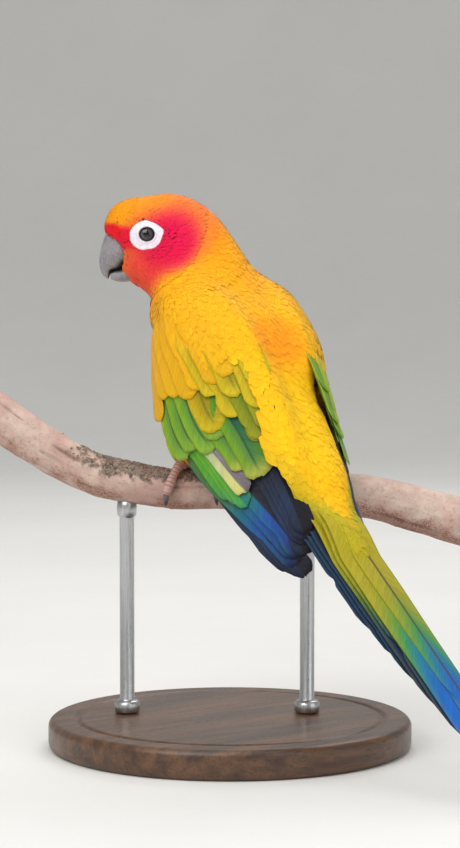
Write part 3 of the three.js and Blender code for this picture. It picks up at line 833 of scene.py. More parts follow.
# bare skin round the eye: fold and rim carry painted shade, lilac grey in the folds' troughs and
# dark grey at the lid's inner edge
BARE_SKIN = LayeredFinish("bare_skin", (700, 700, 700), ("f1ecf4", "e4dcea"),
                          (("fold", 1.0, "cbb9cf"), ("rim", 1.0, "6f626b")), (0.42, 0.58), 0.00018,
                          fixed=(("Subsurface Weight", 0.12), ("Subsurface Scale", 0.002)))
SCALES = LayeredFinish("scales", (900, 900, 900), ("b98f86", "c9a39b"),
                       (("fold", 1.0, "7a5b58"),), (0.5, 0.7), 0.00015)
FLAKES = LayeredFinish("flakes", (330, 330, 330), ("51443d", "a39384"),
                       (("Fine", 0.5, "8d7466"),), (0.75, 0.95), 0.0005)
STEEL = LayeredFinish("steel", (2600, 2600, 60), ("a9abad", "c3c5c6"), (), (0.26, 0.42), 0.00004,
                      0.5, (("Metallic", 1.0),))
FLOOR = LayeredFinish("floor", (6, 6, 6), ("e6e5e2", "e9e8e5"), (), (0.8, 0.9), 0.0)


@dataclass(frozen=True)
class HornFinish(Finish):
    """The bill: grey horn with flaking streaks, and painted shade, nearly black, along the edges
    where its halves meet and in its nostrils.
    """

    name: str = "bill"

    def inputs(self, nodes: Nodes) -> dict[str, object]:
        """Reads the Growth map: along the bill, and round it."""
        growth = nodes.uv("Growth")
        layers = nodes.grain(growth, (26, 5, 1))
        streaks = nodes.grain(growth, (4, 34, 1))
        colour = nodes.blended(layers["Broad"], "7f7c82", "9b979c")
        colour = nodes.over(colour, "5f5b61", streaks["Broad"], 0.65)
        chips = nodes.mapped(streaks["Fine"], 0.5, 0.9)
        colour = nodes.over(colour, "b9b6b4", chips, nodes.attribute("wear"))
        # painted shade: nearly black along the seam between the halves and in the nostrils
        return {"Base Color": nodes.over(colour, "0b0a0c", nodes.attribute("painted_shade")),
                "Roughness": nodes.mapped(streaks["Fine"], 0, 1, 0.38, 0.55),
                "Normal": nodes.bump(streaks["Height"], 0.00016, 0.8,
                                     nodes.bump(layers["Height"], 0.00022)),
                "Coat Weight": 0.12, "Coat Roughness": 0.3}


@dataclass(frozen=True)
class EyeFinish(Finish):
    """A wet eye: black pupil, dark grey-brown iris."""

    name: str = "eye"

    def inputs(self, nodes: Nodes) -> dict[str, object]:
        """Reads how far round from its middle each point lies."""
        ramp = nodes.add("ShaderNodeValToRGB", {0: nodes.attribute("disc")})
        keys = ((0.0, "020203"), (0.42, "030304"), (0.47, "3c3438"), (0.68, "5d545a"),
                (0.88, "3a3237"), (0.97, "120e11"))
        ramp.color_ramp.elements[0].position = keys[0][0]
        ramp.color_ramp.elements[1].position = keys[-1][0]
        for at, _ in keys[1:-1]:
            ramp.color_ramp.elements.new(at)
        for element, (_, code) in zip(ramp.color_ramp.elements, keys):
            element.color = (*linear(code), 1)
        flecks = nodes.noise(nodes.uv("Growth"), 46, 2)
        shade = nodes.grey(nodes.mapped(flecks, 0.3, 0.7, 0.75, 1.15))
        return {"Base Color": nodes.blended(1.0, ramp.outputs[0], shade, "MULTIPLY"),
                "Roughness": 0.3, "Specular IOR Level": 0.1, "Coat Weight": 1.0,
                "Coat Roughness": 0.03}


@dataclass(frozen=True)
class ClawFinish(Finish):
    """A dark claw, paler at its root."""

    name: str = "claw"

    def inputs(self, nodes: Nodes) -> dict[str, object]:
        """Reads the Growth map along the claw."""
        growth = nodes.uv("Growth")
        along = nodes.add("ShaderNodeSeparateXYZ", {0: growth}).outputs[0]
        grain = nodes.grain(growth, (3, 30, 1))
        colour = nodes.blended(nodes.mapped(along, 0.0, 0.6), "6a5a58", "2a2426")
        return {"Base Color": nodes.over(colour, "8a7a76", grain["Fine"], 0.3),
                "Roughness": nodes.mapped(grain["Broad"], 0, 1, 0.3, 0.45),
                "Normal": nodes.bump(grain["Height"], 0.0001)}


@dataclass(frozen=True)
class BarkFinish(Finish):
    """A branch with most of its bark worn off: mottled cream and pink wood, reddish-brown patches
    that gather towards its underside, and grey crust.
    """

    name: str = "branch"

    def inputs(self, nodes: Nodes) -> dict[str, object]:
        """Reads where bark and the reddish-brown patches are, the length along the branch, and its
        cut ends.
        """
        bark, stain, ends, groove = map(nodes.attribute, ("bark", "stain", "ends", "fold"))
        place = nodes.place()
        fibres = nodes.grain(nodes.uv("Growth"), (26, 160, 1))
        mottle = nodes.grain(place, (240, 240, 240))
        speck = nodes.noise(place, 900, 2.0)
        wood = nodes.blended(nodes.grain(place, (70, 70, 70))["Broad"], "c9a398", "dcc8b8")
        wood = nodes.over(wood, "ab958b", mottle["Broad"], 0.5)
        wood = nodes.over(wood, "b48a7e", fibres["Fine"], 0.3)
        # reddish-brown patches, mostly on the underside, with more dark specks where they lie
        wood = nodes.over(wood, "9c6a58", stain, nodes.mapped(mottle["Fine"], 0, 1, 0.35, 1))
        wood = nodes.over(wood, "5e4a42", nodes.mapped(speck, 0.56, 0.66),
                          nodes.maths("MULTIPLY_ADD", stain, 0.45, 0.2))
        crust = nodes.blended(mottle["Broad"], "7a6a60", "a89788")
        crust = nodes.over(crust, "4c4039", nodes.mapped(speck, 0.45, 0.62))
        colour = nodes.over(nodes.blended(bark, wood, crust), "6a4c42", groove, 0.7)
        height = nodes.maths("MULTIPLY", mottle["Height"],
                             nodes.maths("MULTIPLY_ADD", bark, 0.8, 0.2))
        return {"Base Color": nodes.over(colour, "d8bd9c", ends),
                "Roughness": nodes.mapped(bark, 0, 1, 0.64, 0.88),
                "Normal": nodes.bump(height, 0.0011, 0.9,
                                     nodes.bump(fibres["Height"], 0.0003, 0.7))}


@dataclass(frozen=True)
class TimberFinish(Finish):
    """The stand's dark turned wood."""

    name: str = "stand"

    def inputs(self, nodes: Nodes) -> dict[str, object]:
        """Long grain along X with rings that wander."""
        pores = nodes.grain(nodes.place(), (60, 1500, 1500))
        colour = nodes.blended(nodes.grain(nodes.place(), (14, 130, 130))["Broad"],
                               "3a2416", "6d4a2f")
        dark = nodes.mapped(pores["Broad"], 0.6, 1.0)
        return {"Base Color": nodes.over(colour, "1f130c", dark, 0.6),
                "Roughness": nodes.mapped(pores["Fine"], 0, 1, 0.36, 0.5),
                "Normal": nodes.bump(pores["Height"], 0.00012, 0.6),
                "Coat Weight": 0.25, "Coat Roughness": 0.25}


# Meshes


@dataclass
class Pile:
    """Closed bits gathered into one mesh, with tints and maps on their points."""

    name: str
    points: list[Array] = field(default_factory=list)
    quads: list[Array] = field(default_factory=list)
    flat: list[Array] = field(default_factory=list)
    values: dict[str, list[Array]] = field(default_factory=dict)
    maps: dict[str, list[Array]] = field(default_factory=dict)
    normals: list[Array] = field(default_factory=list)
    count: int = 0

    def add(self, points: Array, quads: Array, flat: Array | None = None,
            values: dict[str, Array] | None = None,
            maps: dict[str, Array] | None = None) -> None:
        """Adds a bit.

        Args:
            points: its points, in millimetres.
            quads: its faces, four points each, or three with the last one repeated.
            flat: which faces are shaded flat.
            values: attributes by name, a number or a colour for each point.
            maps: UV maps by name, a pair for each point.
        """
        self.points.append(points)
        self.quads.append(quads + self.count)
        self.flat.append(np.zeros(len(quads), bool) if flat is None else flat)
        for name, value in (values or {}).items():
            self.values.setdefault(name, []).append(value)
        for name, value in (maps or {}).items():
            self.maps.setdefault(name, []).append(value)
        self.count += len(points)

    def build(self, finish: Finish) -> bpy.types.Object:
        """The finished object, at the origin."""
        points = np.vstack(self.points) * MM
        quads = np.vstack(self.quads)
        corners = np.where(quads[:, 3] == quads[:, 2], 3, 4)
        keep = np.arange(4)[None, :] < corners[:, None]
        loops = quads[keep]
        starts = np.concatenate([[0], np.cumsum(corners)[:-1]])
        mesh = bpy.data.meshes.new(self.name)
        mesh.vertices.add(len(points))
        mesh.vertices.foreach_set("co", points.astype(np.float32).ravel())
        mesh.loops.add(len(loops))
        mesh.loops.foreach_set("vertex_index", loops.astype(np.int32))
        mesh.polygons.add(len(quads))
        mesh.polygons.foreach_set("loop_start", starts.astype(np.int32))
        mesh.update(calc_edges=True)
        mesh.polygons.foreach_set("use_smooth", ~np.concatenate(self.flat))
        for name, bits in self.values.items():
            value = np.concatenate(bits)
            if value.ndim == 1:
                layer = mesh.attributes.new(name, "FLOAT", "POINT")
                layer.data.foreach_set("value", value.astype(np.float32))
            else:
                layer = mesh.attributes.new(name, "FLOAT_COLOR", "POINT")
                full = np.hstack([value, np.ones((len(value), 1))])
                layer.data.foreach_set("color", full.astype(np.float32).ravel())
        for name, bits in self.maps.items():
            layer = mesh.uv_layers.new(name=name)
            layer.data.foreach_set("uv", np.vstack(bits)[loops].astype(np.float32).ravel())
        mesh.materials.append(finish.material())
        mesh.update()
        if self.normals:
            mesh.normals_split_custom_set_from_vertices(np.vstack(self.normals).tolist())
        return linked(self.name, mesh)


def grid_quads(rows: int, columns: int, around: bool = False, start: int = 0) -> Array:
    """The faces between rows of points. With around, each row closes on itself."""
    i, j = np.meshgrid(np.arange(rows - 1), np.arange(columns - (0 if around else 1)),
                       indexing="ij")
    k = (j + 1) % columns
    quads = np.stack([i * columns + j, i * columns + k, (i + 1) * columns + k,
                      (i + 1) * columns + j], axis=-1)
    return quads.reshape(-1, 4) + start


def capped_tube(rings: Array, domed: float = 0.0) -> tuple[Array, Array]:
    """A closed tube over rings.

    Args:
        rings: rows of points round the tube.
        domed: how far the two end points stand out, as a share of the last step.

    Returns:
        Its points, rings first and the two end points last, and its faces.
    """
    rows, columns = rings.shape[:2]
    middles = rings.mean(axis=1)
    first = middles[0] + (middles[0] - middles[1]) * domed
    last = middles[-1] + (middles[-1] - middles[-2]) * domed
    points = np.vstack([rings.reshape(-1, 3), first, last])
    j = np.arange(columns)
    k = (j + 1) % columns
    a = np.full(columns, rows * columns)
    start = np.stack([k, j, a, a], axis=1)
    end = np.stack([(rows - 1) * columns + j, (rows - 1) * columns + k, a + 1, a + 1], axis=1)
    quads = np.vstack([grid_quads(rows, columns, True), start, end])
    return points, facing(points, quads)


def enclosed(points: Array, quads: Array) -> float:
    """The volume inside closed faces, less than 0 if they point inwards."""
    a, b, c, d = (points[quads[:, k]] for k in range(4))
    return float((np.cross(a, b) * c).sum() + (np.cross(a, c) * d).sum()) / 6


def facing(points: Array, quads: Array) -> Array:
    """Closed faces, turned outwards."""
    return quads if enclosed(points, quads) > 0 else flipped(quads)


def plate_quads(rows: int, columns: int) -> Array:
    """The faces of a closed plate: a grid, the grid under it, and its four sides."""
    count = rows * columns
    j, i = np.arange(columns - 1), np.arange(rows - 1)
    k = (rows - 1) * columns + j
    a, b = i * columns, i * columns + columns - 1
    return np.vstack([
        grid_quads(rows, columns), flipped(grid_quads(rows, columns, start=count)),
        np.stack([j + 1, j, j + count, j + 1 + count], axis=1),
        np.stack([k, k + 1, k + 1 + count, k + count], axis=1),
        np.stack([a, a + columns, a + columns + count, a + count], axis=1),
        np.stack([b + columns, b, b + count, b + columns + count], axis=1)])


def tree_of(points: Array) -> KDTree:
    """A tree that finds the nearest of the points."""
    tree = KDTree(len(points))
    for i, p in enumerate(points):
        tree.insert(p, i)
    tree.balance()
    return tree


def linked(name: str, data: bpy.types.ID) -> bpy.types.Object:
    """A new object in the scene."""
    made = bpy.data.objects.new(name, data)
    bpy.context.scene.collection.objects.link(made)
    return made


def flipped(quads: Array) -> Array:
    """The same faces seen from their other side."""
    three = quads[:, 3] == quads[:, 2]
    turned = quads[:, ::-1].copy()
    turned[three] = quads[three][:, [1, 0, 2, 3]]
    return turned


def tube_rings(line: Array, widths: Array, heights: Array, up: Array, sides: int) -> Array:
    """Rings of oval sections along a line of points."""
    along = unit(np.gradient(line, axis=0))
    across = unit(np.cross(along, up))
    over = np.cross(across, along)
    turns = circle(sides)
    return (line[:, None] + across[:, None] * (np.cos(turns)[:, None] * widths[:, None, None])
            + over[:, None] * (np.sin(turns)[:, None] * heights[:, None, None]))


def rideable(piece: bpy.types.Object, slot: str, *nodes: str) -> None:
    """Makes a piece ride with the model and stand for nodes.

    Args:
        piece: the finished object.
        slot: the record's material slot; not used.
        *nodes: the nodes that it stands for.
    """
    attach(piece, "root")
    if nodes:
        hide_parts(*nodes)
    LOG.info("%s: %d faces", piece.name, len(piece.data.polygons))


def single(name: str, form: tuple[Array, Array], finish: Finish, slot: str, *nodes: str,
           values: dict[str, Array] | None = None, growth: Array | None = None) -> None:
    """A piece of one bit.

    Args:
        name: the piece's name.
        form: its points and its faces.
        finish: its finish.
        slot: the record's material slot.
        *nodes: the nodes that it stands for.
        values: attributes by name.
        growth: the Growth map, a pair for each point.
    """
    pile = Pile(name)
    pile.add(*form, None, values, None if growth is None else {"Growth": growth})
    rideable(pile.build(finish), slot, *nodes)


# Small feathers


@dataclass(frozen=True)
class FeatherSize:
    """Size of small feathers, in millimetres, and how they lie."""

    length: float
    half: float
    spacing: float
    root: float
    tip: float
    columns: int
    rows: int
    blunt: float
    fray: float
    camber: float
    thick: float
    rounding: float = 0.12
    lift: float = 0.03


class SmallFeathers:
    """Shapes many small feathers at once and lays them on the form."""

    patch = 0.0015

    def __init__(self, size: FeatherSize, rng: np.random.Generator) -> None:
        """Makes the pattern of one feather's faces."""
        self.size = size
        self.rng = rng
        m, n = size.columns, size.rows
        width = m + 1
        rows = np.arange(n - 1) * width
        top = [[0 + c, c + 1, c + 1 + width, c + width] for c in range(m - 1)]
        under = [[m - 1, m, m + width, m - 1 + width], [m, 0, width, m + width]]
        section = np.array(top + under)
        cap = np.array([[m, c, c + 1, c + 1] for c in range(m - 1)])
        self.quads = np.vstack([(section[None] + rows[:, None, None]).reshape(-1, 4),
                                cap[:, [0, 2, 1, 1]], cap + (n - 1) * width])
        below = np.zeros((n - 1, len(section)), bool)
        below[:, -2:] = True
        self.below = np.concatenate([below.ravel(), np.ones(2 * len(cap), bool)])
        self.u = np.concatenate([[0], np.linspace(0.34, 0.82, n - 2), [1.0]])
        self.x = np.linspace(-1, 1, m)

    def lay(self, pile: Pile, roots: Array, ways: Array, scale: Array, tints: Callable,
            bake: Array, settle: Callable[[Array, Array], Array], normals: Array,
            ways_out: Callable[[Array], Array]) -> None:
        """Adds a feather at every root.

        Args:
            pile: the mesh that takes them.
            roots: points on the form.
            ways: the direction in which each lies.
            scale: each one's own size, as (length, width) factors.
            tints: gives colours from (points, u, x).
            bake: each root's place on the bake map.
            settle: moves points to heights over the form.
            normals: directions out of the form at the roots.
            ways_out: gives directions out of what the feathers lie on, which shade them.
        """
        size, rng = self.size, self.rng
        count, n, m = len(roots), size.rows, size.columns
        side = unit(np.cross(ways, normals))
        u = np.tile(self.u[None, :, None], (count, 1, m))
        x = np.tile(self.x[None, None, :], (count, n, 1))
        arc = 1 - np.sqrt(np.maximum(1 - (0.97 * x) ** 2, 0))
        ahead = u * (1 - size.blunt * arc * smooth(u, 0.1, 1))
        ahead[:, -1] += rng.normal(0, size.fray, (count, m))
        ahead[:, -2] += rng.normal(0, size.fray * 0.25, (count, m))
        wide = mix(0.42, 1.0, smooth(u, 0, 0.55)) * (1 - 0.16 * smooth(u, 0.75, 1))
        lateral = x * wide * (1 + rng.normal(0, 0.05, (count, 1, m)))
        bend = rng.normal(0, 0.10, (count, 1, 1))
        length = (size.length * scale[:, 0])[:, None, None]
        half = (size.half * scale[:, 1])[:, None, None]
        over_x = lateral * half + bend * u**2 * length * 0.5
        flat = (roots[:, None, None] + ways[:, None, None] * (ahead * length)[..., None]
                + side[:, None, None] * over_x[..., None])
        lift = rng.normal(0, size.lift, (count, 1, 1))
        ahead = np.maximum(ahead, 0)
        height = mix(size.root, size.tip, ahead**0.8) + lift * u
        height = height - size.camber * x**2 * smooth(u, 0, 0.5)
        under = flat.mean(axis=2)
        low = mix(size.root, size.tip, ahead.mean(axis=2)**0.8) + lift[..., 0] * self.u
        low = low - size.thick * np.array(mix(1.6, 0.8, self.u))[None]
        points = np.concatenate([flat, under[:, :, None]], axis=2).reshape(-1, 3)
        heights = np.concatenate([height, low[:, :, None]], axis=2).ravel()
        points = settle(points, heights)
        full_u = np.concatenate([u, u[:, :, :1]], axis=2).ravel()
        full_x = np.concatenate([x, np.zeros((count, n, 1))], axis=2).ravel()
        row = m + 1
        each = n * row
        quads = (self.quads[None] + (np.arange(count) * each)[:, None, None]).reshape(-1, 4)
        colour = tints(points, full_u, full_x, np.repeat(np.arange(count), each))
        centre = np.repeat(bake, each, axis=0)
        spot = centre + np.stack([full_x, full_u * 2 - 1], axis=1) * self.patch
        vane = np.stack([full_u * np.repeat(length.ravel(), each) / 100,
                         full_x * np.repeat(half.ravel(), each) / 100], axis=1)
        drift = np.repeat(rng.uniform(0, 0.4, count), each)
        vane[:, 0] += drift
        pile.add(points, quads, np.tile(self.below, count), {"tint": colour},
                 {"OFBake": spot, "Vane": vane})
        across = np.repeat(side, each, axis=0) * (full_x * size.rounding)[:, None]
        pile.normals.append(unit(ways_out(points) + across))


def thinned(points: Array, spacing: Array, rng: np.random.Generator) -> Array:
    """Numbers of points that keep their own spacing from one another, in a seeded order."""
    tree = tree_of(points)
    free = np.ones(len(points), bool)
    kept = []
    for i in rng.permutation(len(points)):
        if free[i]:
            kept.append(i)
            for _, j, _ in tree.find_range(points[i], spacing[i]):
                free[j] = False
    return np.array(kept)


def scattered(points: Array, faces: Array, count: int, rng: np.random.Generator) -> Array:
    """Points spread evenly over triangles."""
    a, b, c = (points[faces[:, k]] for k in range(3))
    area = np.linalg.norm(np.cross(b - a, c - a), axis=1)
    pick = rng.choice(len(faces), count, p=area / area.sum())
    r, s = rng.random(count), rng.random(count)
    fold = r + s > 1
    r, s = np.where(fold, 1 - r, r), np.where(fold, 1 - s, s)
    return a[pick] + (b - a)[pick] * r[:, None] + (c - a)[pick] * s[:, None]


# The bill


@dataclass
class Bill:
    """The hooked bill, from rings between a front and a back point in the head's Y and Z."""

    sides: int = 44
    steps: int = 44
    nostril: tuple[float, float, float] = (3.7, 14.6, 2.4)
    nostril_radius: float = 0.8
    upper: Array = field(init=False)
    lower: Array = field(init=False)

    def __post_init__(self) -> None:
        """Makes the rings of both halves."""
        self.upper = self.rings(UPPER_BILL, 0.32)
        self.lower = self.rings(LOWER_BILL, 0.1)

    def rings(self, stations: Sequence[Sequence[float]], keel: float) -> Array:
        """Rings through the stations.

        Args:
            stations: front point, back point and half width of each ring.
            keel: how much narrower the front is than the back.

        Returns:
            Rows of points in the model's axes.
        """
        u = np.linspace(0, 1, self.steps)
        s = Curve(stations).at(u)
        turns = circle(self.sides)
        c, n = np.cos(turns), np.sin(turns)
        front = np.stack([np.zeros(len(u)), s[:, 0], s[:, 1]], axis=1)
        back = np.stack([np.zeros(len(u)), s[:, 2], s[:, 3]], axis=1)
        half, middle = (front - back) / 2, (front + back) / 2
        flat = np.sign(c) * np.abs(c) ** 0.85 * (1 - keel * smooth(n, 0.2, 1.0))
        rings = middle[:, None] + half[:, None] * n[None, :, None]
        rings[:, :, 0] += flat[None] * s[:, 4:5]
        return HEAD.out(rings)

    def half(self, name: str, rings: Array, painted_shade: Callable[[Array, Array], Array],
             node: str) -> None:
        """One half of the bill as a piece."""
        points, quads = capped_tube(rings, 0.25)
        rows, columns = rings.shape[:2]
        u = np.repeat(np.linspace(0, 1, rows), columns)
        v = np.tile(np.arange(columns) / columns, rows)
        own = HEAD.own(points[:-2])
        own[:, 0] = np.abs(own[:, 0])
        close = np.linalg.norm(own - self.nostril, axis=1)
        hole = 1 - smooth(close, self.nostril_radius * 0.5, self.nostril_radius * 1.3)
        centre = HEAD.out(np.array([[0, 10.0, -6.0]]))
        points[:-2] += unit(centre - points[:-2]) * (hole * 0.9)[:, None]
        # painted shade: a band where the halves meet, and the sunken nostril
        dark = np.maximum(painted_shade(u, v), hole * 0.9)
        tip = smooth(u, 0.55, 1) * 0.7 + 0.3
        ends = np.array([0.0, 1.0])
        values = {"painted_shade": np.append(dark, [1.0, 0.0]), "wear": np.append(tip, ends)}
        growth = np.vstack([np.stack([u, v], axis=1), [[0, 0.5], [1, 0.5]]])
        single(name, (points, quads), HornFinish(), "horn", node, values=values, growth=growth)

    def build(self) -> None:
        """Makes both halves."""

        # painted shade along the upper half's lower edge, where the lower half meets it
        def under(u: Array, v: Array) -> Array:
            back = np.abs(v - 0.75)
            return (1 - smooth(back, 0.13, 0.2)) * smooth(u, 0.28, 0.4) * 0.97

        # painted shade along the lower half's top edge, inside the upper half
        def inside(u: Array, v: Array) -> Array:
            front = np.abs(v - 0.25)
            return (1 - smooth(front, 0.12, 0.2)) * 0.9

        self.half("upper_bill", self.upper, under, "bill_upper")
        self.half("lower_bill", self.lower, inside, "bill_lower")


# Eyes


@dataclass
class Eye:
    """An eye ball behind lids, in a ring of bare skin that draws to a point behind."""

    side: Side
    radius: float = EYE_RADIUS
    opening: float = EYE_OPENING
    slices: int = 72
    rings: int = 20
    skin: tuple[float, float] = (6.1, 5.5)
    skin_middle: tuple[float, float] = (0.45, -0.55)
    point_angle: float = 168.0
    point_reach: float = 1.0
    ball_rows: int = 40
    ball_columns: int = 48

    def outline(self, angle: Array) -> Array:
        """How far the bare skin reaches from the eye's middle, by direction in the head's YZ."""
        a, b = self.skin
        forward, up = self.skin_middle
        c, s = np.cos(angle) / a, np.sin(angle) / b
        p = c * forward / a + s * up / b
        q = (forward / a) ** 2 + (up / b) ** 2 - 1
        base = (p + np.sqrt(p * p - (c * c + s * s) * q)) / (c * c + s * s)
        off = np.angle(np.exp(1j * (angle - math.radians(self.point_angle))))
        point = self.point_reach * np.exp(-((off / 0.36) ** 2))
        wobble = 0.09 * np.sin(5 * angle + 0.6) + 0.06 * np.sin(9 * angle)
        return base + point + wobble

    def around(self, own: Array) -> Array:
        """How far out of the ring points in the head's axes lie: 1 on its edge."""
        y, z = own[:, 1], own[:, 2]
        return np.hypot(y, z) / self.outline(np.arctan2(z, y))

    def ball(self) -> None:
        """The eye ball, with its axis across the head."""
        rows, columns = self.ball_rows, self.ball_columns
        polar = np.linspace(0, math.pi, rows + 2)[1:-1]
        turns = circle(columns)
        x = np.cos(polar)[:, None] * np.ones(columns)[None]
        y = np.sin(polar)[:, None] * np.cos(turns)[None]
        z = np.sin(polar)[:, None] * np.sin(turns)[None]
        middle = np.array((self.side.value * (EYE_HALF_WIDTH - self.radius), 0, 0))
        rings = HEAD.out(np.stack([x * self.side.value, y, z], axis=-1) * self.radius + middle)
        points, quads = capped_tube(rings)
        poles = np.array([(1.0, 0, 0), (-1.0, 0, 0)]) * (self.side.value * self.radius, 1, 1)
        points[-2:] = HEAD.out(poles + middle)
        share = np.sin(np.minimum(polar, math.pi / 2)) * self.radius / self.opening
        disc = np.append(np.repeat(np.where(polar < 1.5, share, 2.0), columns), [0.0, 2.0])
        turn_map = np.stack([np.tile(turns / TURN, rows), np.repeat(polar / 9, columns)], axis=1)
        growth = np.vstack([turn_map, [[0, 0], [0, 0.3]]])
        single(f"eyeball_{self.side.word}", (points, quads), EyeFinish(), "eye",
               f"eye_{self.side.word}", values={"disc": disc}, growth=growth)

    def ring(self) -> None:
        """The bare skin: a lid's rim at the eye, folds round it, and an edge under feathers, with
        painted shade in the folds' troughs and at the lid's inner edge.
        """
        turns = circle(self.slices)
        reach = self.outline(turns) + 0.9
        s = np.linspace(0, 1, self.rings) ** 0.9
        inner = self.opening - 0.12 + 0.12 * np.cos(2 * turns)
        far = mix(inner[None], reach[None], s[:, None])
        y, z = far * np.cos(turns), far * np.sin(turns)
        k = (far - inner) / (reach - inner)
        broken = 0.55 + 0.45 * np.sin(7 * turns + 9 * k) * np.sin(3 * turns + 1)
        folds = 0.07 * broken * np.sin(k * 19 + 1.6 * np.sin(3 * turns)) * smooth(k, 0.12, 0.3)
        folds = folds * (1 - smooth(k, 0.75, 0.95))
        rise = 0.62 * np.exp(-(((k - 0.14) / 0.13) ** 2)) + 0.34 * (1 - smooth(k, 0.3, 0.9))
        height = rise + folds + 0.06 - 1.0 * smooth(k, 0.82, 1.0)
        x = np.full(y.shape, 12.9 * self.side.value)
        flat = HEAD.out(np.stack([x, y, z], axis=-1)).reshape(-1, 3)
        over = HEAD.own(FORM.settle(flat, height.ravel(), 3)).reshape(*y.shape, 3)[..., 0]
        ball_x = EYE_HALF_WIDTH - self.radius + math.sqrt(self.radius**2 - self.opening**2)
        rim = self.side.value * (ball_x + 0.1)
        over = mix(over, np.full_like(over, rim), (1 - smooth(k, 0.0, 0.10)))
        front = np.stack([over, y, z], axis=-1)
        back = front[::-1].copy()
        back[..., 0] -= self.side.value * mix(0.5, 1.1, smooth(k[::-1], 0, 0.3))
        rows = np.concatenate([front, back])
        count = len(rows)
        points = HEAD.out(rows).reshape(-1, 3)
        j = np.arange(self.slices)
        n = (j + 1) % self.slices
        close = np.stack([(count - 1) * self.slices + j, (count - 1) * self.slices + n, n, j],
                         axis=1)
        quads = np.vstack([grid_quads(count, self.slices, True), close])
        # painted shade: the folds' troughs, and the lid's inner edge where it turns in to the eye;
        # the hidden back rows take both
        fold = np.concatenate([smooth(-folds, 0.0, 0.08), np.ones_like(folds)]).ravel() * 0.6
        edge = np.concatenate([1 - smooth(k, 0.03, 0.13), np.ones_like(k)]).ravel()
        single(f"eye_ring_{self.side.word}", (points, facing(points, quads)), BARE_SKIN,
               "foot_skin", values={"fold": fold, "rim": edge})

    def build(self) -> None:
        """Makes the ball and the ring."""
        self.ball()
        self.ring()


EYES = {side: Eye(side) for side in Side}


# Feet and legs


def on_branch(along: Array | float, angle: Array | float, off: Array | float) -> Array:
    """Points round the branch.

    Args:
        along: millimetres along the branch from under the feet.
        angle: degrees round it, from level on the bird's rear side, over the top at 90.
        off: how far from its surface.

    Returns:
        Points in the model's axes.
    """
    along, angle, off = np.broadcast_arrays(*(np.asarray(v, float) for v in (along, angle, off)))
    stations = np.array(BRANCH, float)
    radius = np.interp(along, stations[:, 0], stations[:, 3]) + off
    up = np.interp(along, stations[:, 0], stations[:, 2])
    a = np.radians(angle)
    return PERCH.out(np.stack([along, -np.cos(a) * radius, up + np.sin(a) * radius], axis=-1))


